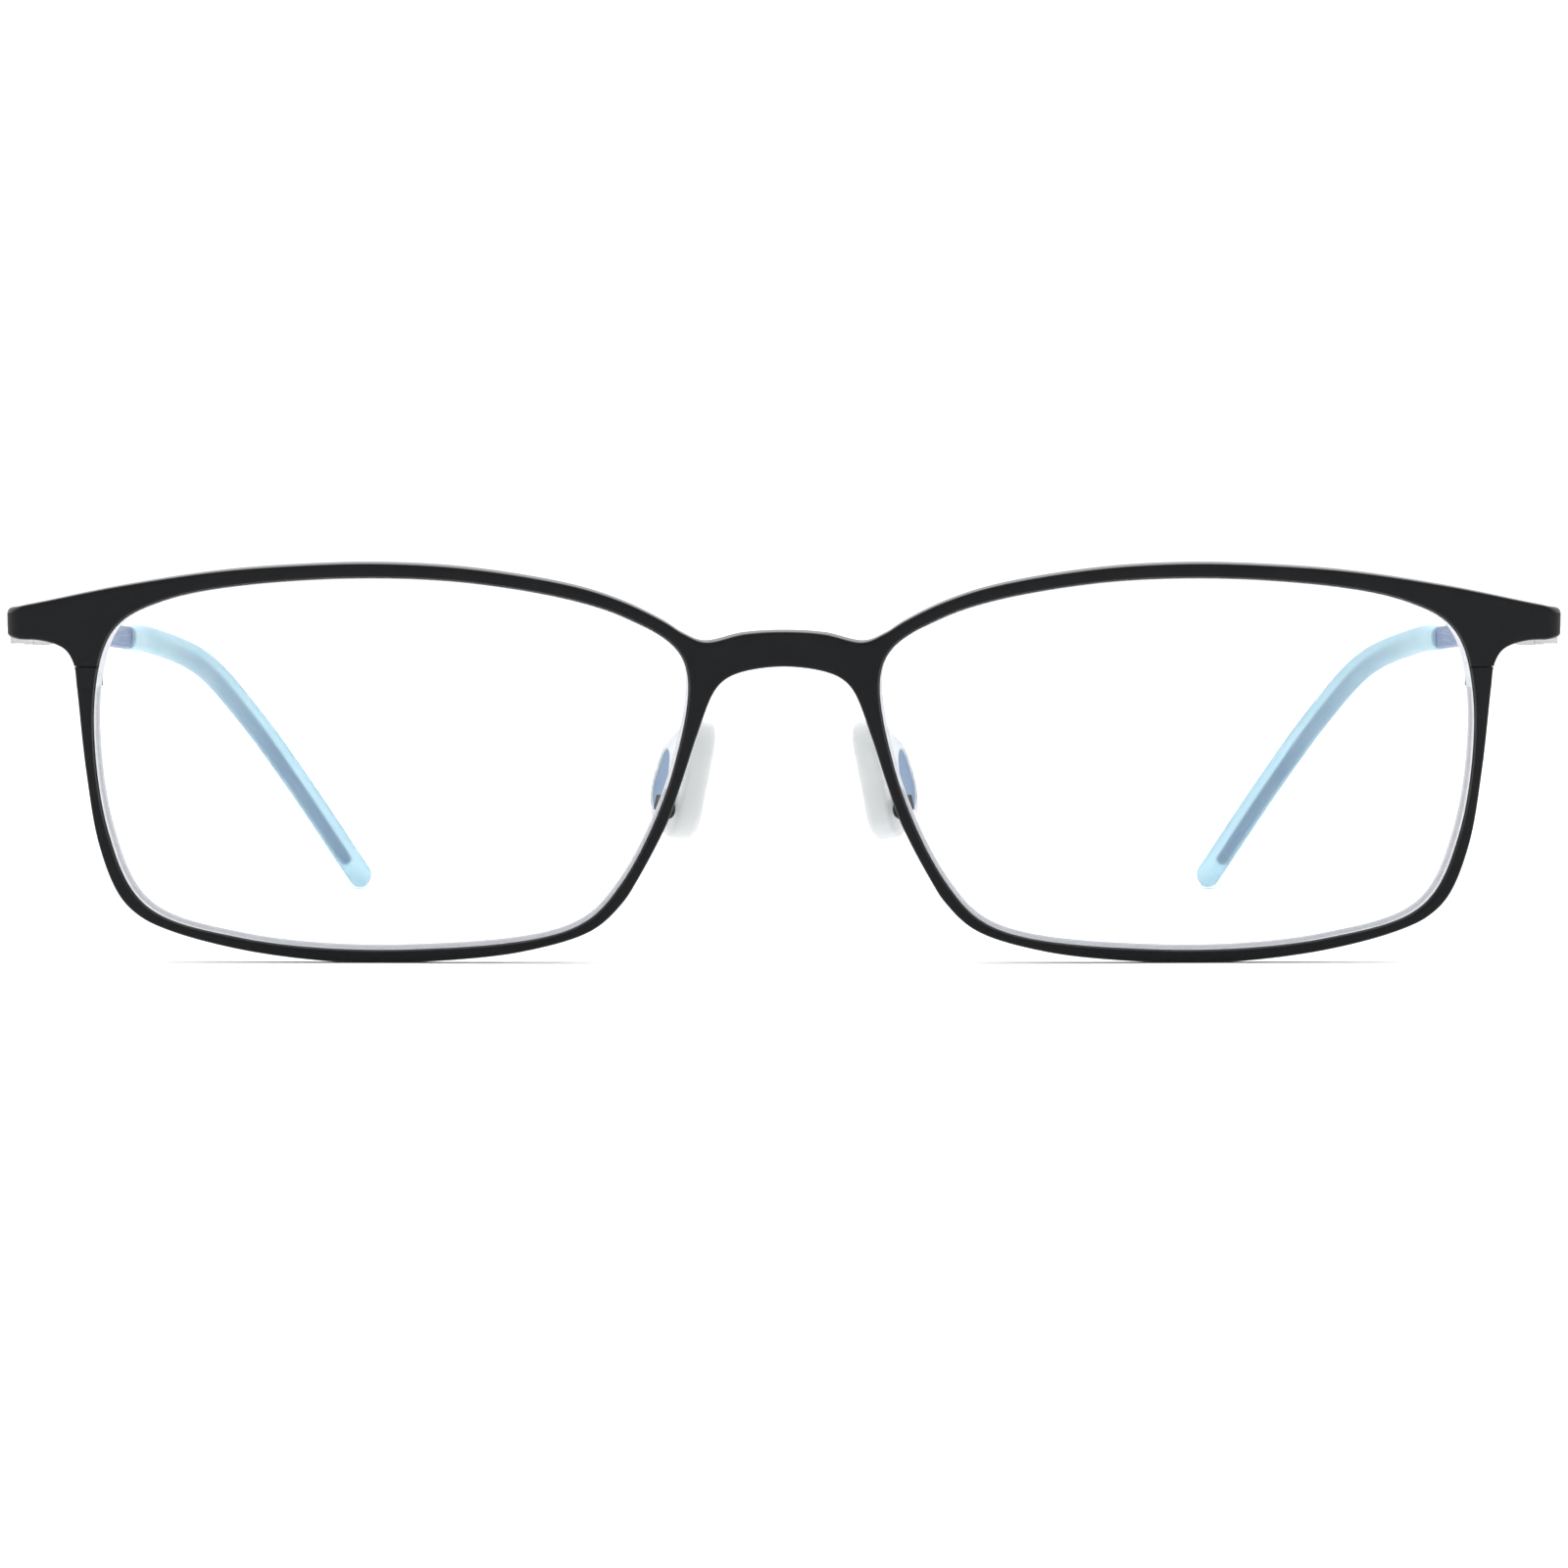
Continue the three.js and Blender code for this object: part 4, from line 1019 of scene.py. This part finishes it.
REPLACED = ("front_frame", "lens_", "temple_left", "temple_right", "temple_tip_", "nose_pad_", "pad_arm_")
EDGE_WIDTHS = {"closing_block_": 0.12, "hinge_front": 0.08, "hinge_temple": 0.08, "pad_holder": 0.1}
FINEST_EDGE = 0.04
slots_of_nodes = {part["node"]: part["material_slot"] for part in frame["record"]["subparts"]}
for node_name, node in frame["nodes"].items():
    if node_name.startswith(REPLACED):
        continue
    finish = PAD_CORE if node_name.startswith("pad_holder") else MATERIAL[slots_of_nodes[node_name]]
    if not node.material_slots:
        node.data.materials.append(None)
    for material_slot in node.material_slots:
        material_slot.link = "OBJECT"
        material_slot.material = finish
    widths = [width for start, width in EDGE_WIDTHS.items() if node_name.startswith(start)]
    soften(node, widths[0] if widths else FINEST_EDGE)

# ---------------------------------------------------------------- studio

CAMERA_DISTANCE = 500
CAMERA_HEIGHT = 32.95
AIM_HEIGHT = 16.25
# The picture's width at the distance of the point that the camera aims at.
FRAME_WIDTH = 142.08
SENSOR_WIDTH = 36
SUN_SPREAD = math.radians(100)
SUN_STRENGTH = 2.6
SUN_TILT = math.radians(-8)
FLOOR_REACH = 6


def place(x, y, z):
    """A point in CAD millimetres, in the row frame."""
    return Vector(((np.array((x, y, z)) + ORIGIN_SHIFT) * MM).tolist())


def aim(thing, target):
    """Turns a camera towards a point."""
    thing.rotation_euler = (target - thing.location).to_track_quat("-Z", "Y").to_euler()


camera_data = bpy.data.cameras.new("camera")
camera = bpy.data.objects.new("camera", camera_data)
bpy.context.scene.collection.objects.link(camera)
bpy.context.scene.camera = camera
camera.location = place(0, -CAMERA_DISTANCE, CAMERA_HEIGHT)
aim_point = place(0, 0, AIM_HEIGHT)
aim(camera, aim_point)
camera_data.sensor_width = SENSOR_WIDTH
camera_data.lens = SENSOR_WIDTH * (aim_point - camera.location).length / (FRAME_WIDTH * MM)
camera_data.clip_start = 0.01
camera_data.clip_end = 50

# A very wide soft sun, so that the floor is equally bright everywhere.
sun_data = bpy.data.lights.new("overhead", "SUN")
sun_data.angle = SUN_SPREAD
sun_data.energy = SUN_STRENGTH
sun = bpy.data.objects.new("overhead", sun_data)
bpy.context.scene.collection.objects.link(sun)
sun.rotation_euler = (SUN_TILT, 0, 0)

floor_mesh = bpy.data.meshes.new("floor")
floor_mesh.from_pydata(
    [(-FLOOR_REACH, -FLOOR_REACH, 0), (FLOOR_REACH, -FLOOR_REACH, 0),
     (FLOOR_REACH, FLOOR_REACH, 0), (-FLOOR_REACH, FLOOR_REACH, 0)],
    [], [(0, 1, 2, 3)],
)
floor = bpy.data.objects.new("floor", floor_mesh)
bpy.context.scene.collection.objects.link(floor)
paper, paper_nodes, paper_links, paper_shader = new_material("white_paper")
paper_grain = noise(paper_nodes, paper_links, 60)
paper_tint = colours(paper_nodes, paper_links, paper_grain, (0.93, 0.93, 0.93), (0.95, 0.95, 0.95))
paper_links.new(paper_tint, paper_shader.inputs["Base Color"])
paper_shader.inputs["Roughness"].default_value = 0.9
paper_shader.inputs["Specular IOR Level"].default_value = 0.0
floor_mesh.materials.append(paper)

# A bright studio that is darker on the camera's side, behind a plain white backdrop.
world = bpy.data.worlds.new("studio")
bpy.context.scene.world = world
world.use_nodes = True
world_nodes, world_links = world.node_tree.nodes, world.node_tree.links
surround = world_nodes["Background"]
direction = world_nodes.new("ShaderNodeTexCoord")
split_direction = world_nodes.new("ShaderNodeSeparateXYZ")
depth_ramp = world_nodes.new("ShaderNodeMapRange")
depth_ramp.inputs["From Min"].default_value = -0.75
depth_ramp.inputs["From Max"].default_value = 0.35
depth_ramp.inputs["To Min"].default_value = 0.1
depth_ramp.inputs["To Max"].default_value = 1.15
world_links.new(direction.outputs["Generated"], split_direction.inputs["Vector"])
world_links.new(split_direction.outputs["Y"], depth_ramp.inputs["Value"])
world_links.new(depth_ramp.outputs["Result"], surround.inputs["Strength"])
surround.inputs["Color"].default_value = (1, 1, 1, 1)
backdrop = world_nodes.new("ShaderNodeBackground")
backdrop.inputs["Color"].default_value = (1, 1, 1, 1)
backdrop.inputs["Strength"].default_value = 1.1
ray = world_nodes.new("ShaderNodeLightPath")
either = world_nodes.new("ShaderNodeMath")
either.operation = "MAXIMUM"
world_links.new(ray.outputs["Is Camera Ray"], either.inputs[0])
world_links.new(ray.outputs["Is Transmission Ray"], either.inputs[1])
chosen = world_nodes.new("ShaderNodeMixShader")
world_links.new(either.outputs["Value"], chosen.inputs["Fac"])
world_links.new(surround.outputs["Background"], chosen.inputs[1])
world_links.new(backdrop.outputs["Background"], chosen.inputs[2])
world_links.new(chosen.outputs["Shader"], world_nodes["World Output"].inputs["Surface"])
bpy.context.scene.view_settings.view_transform = "Standard"

bpy.context.view_layer.update()
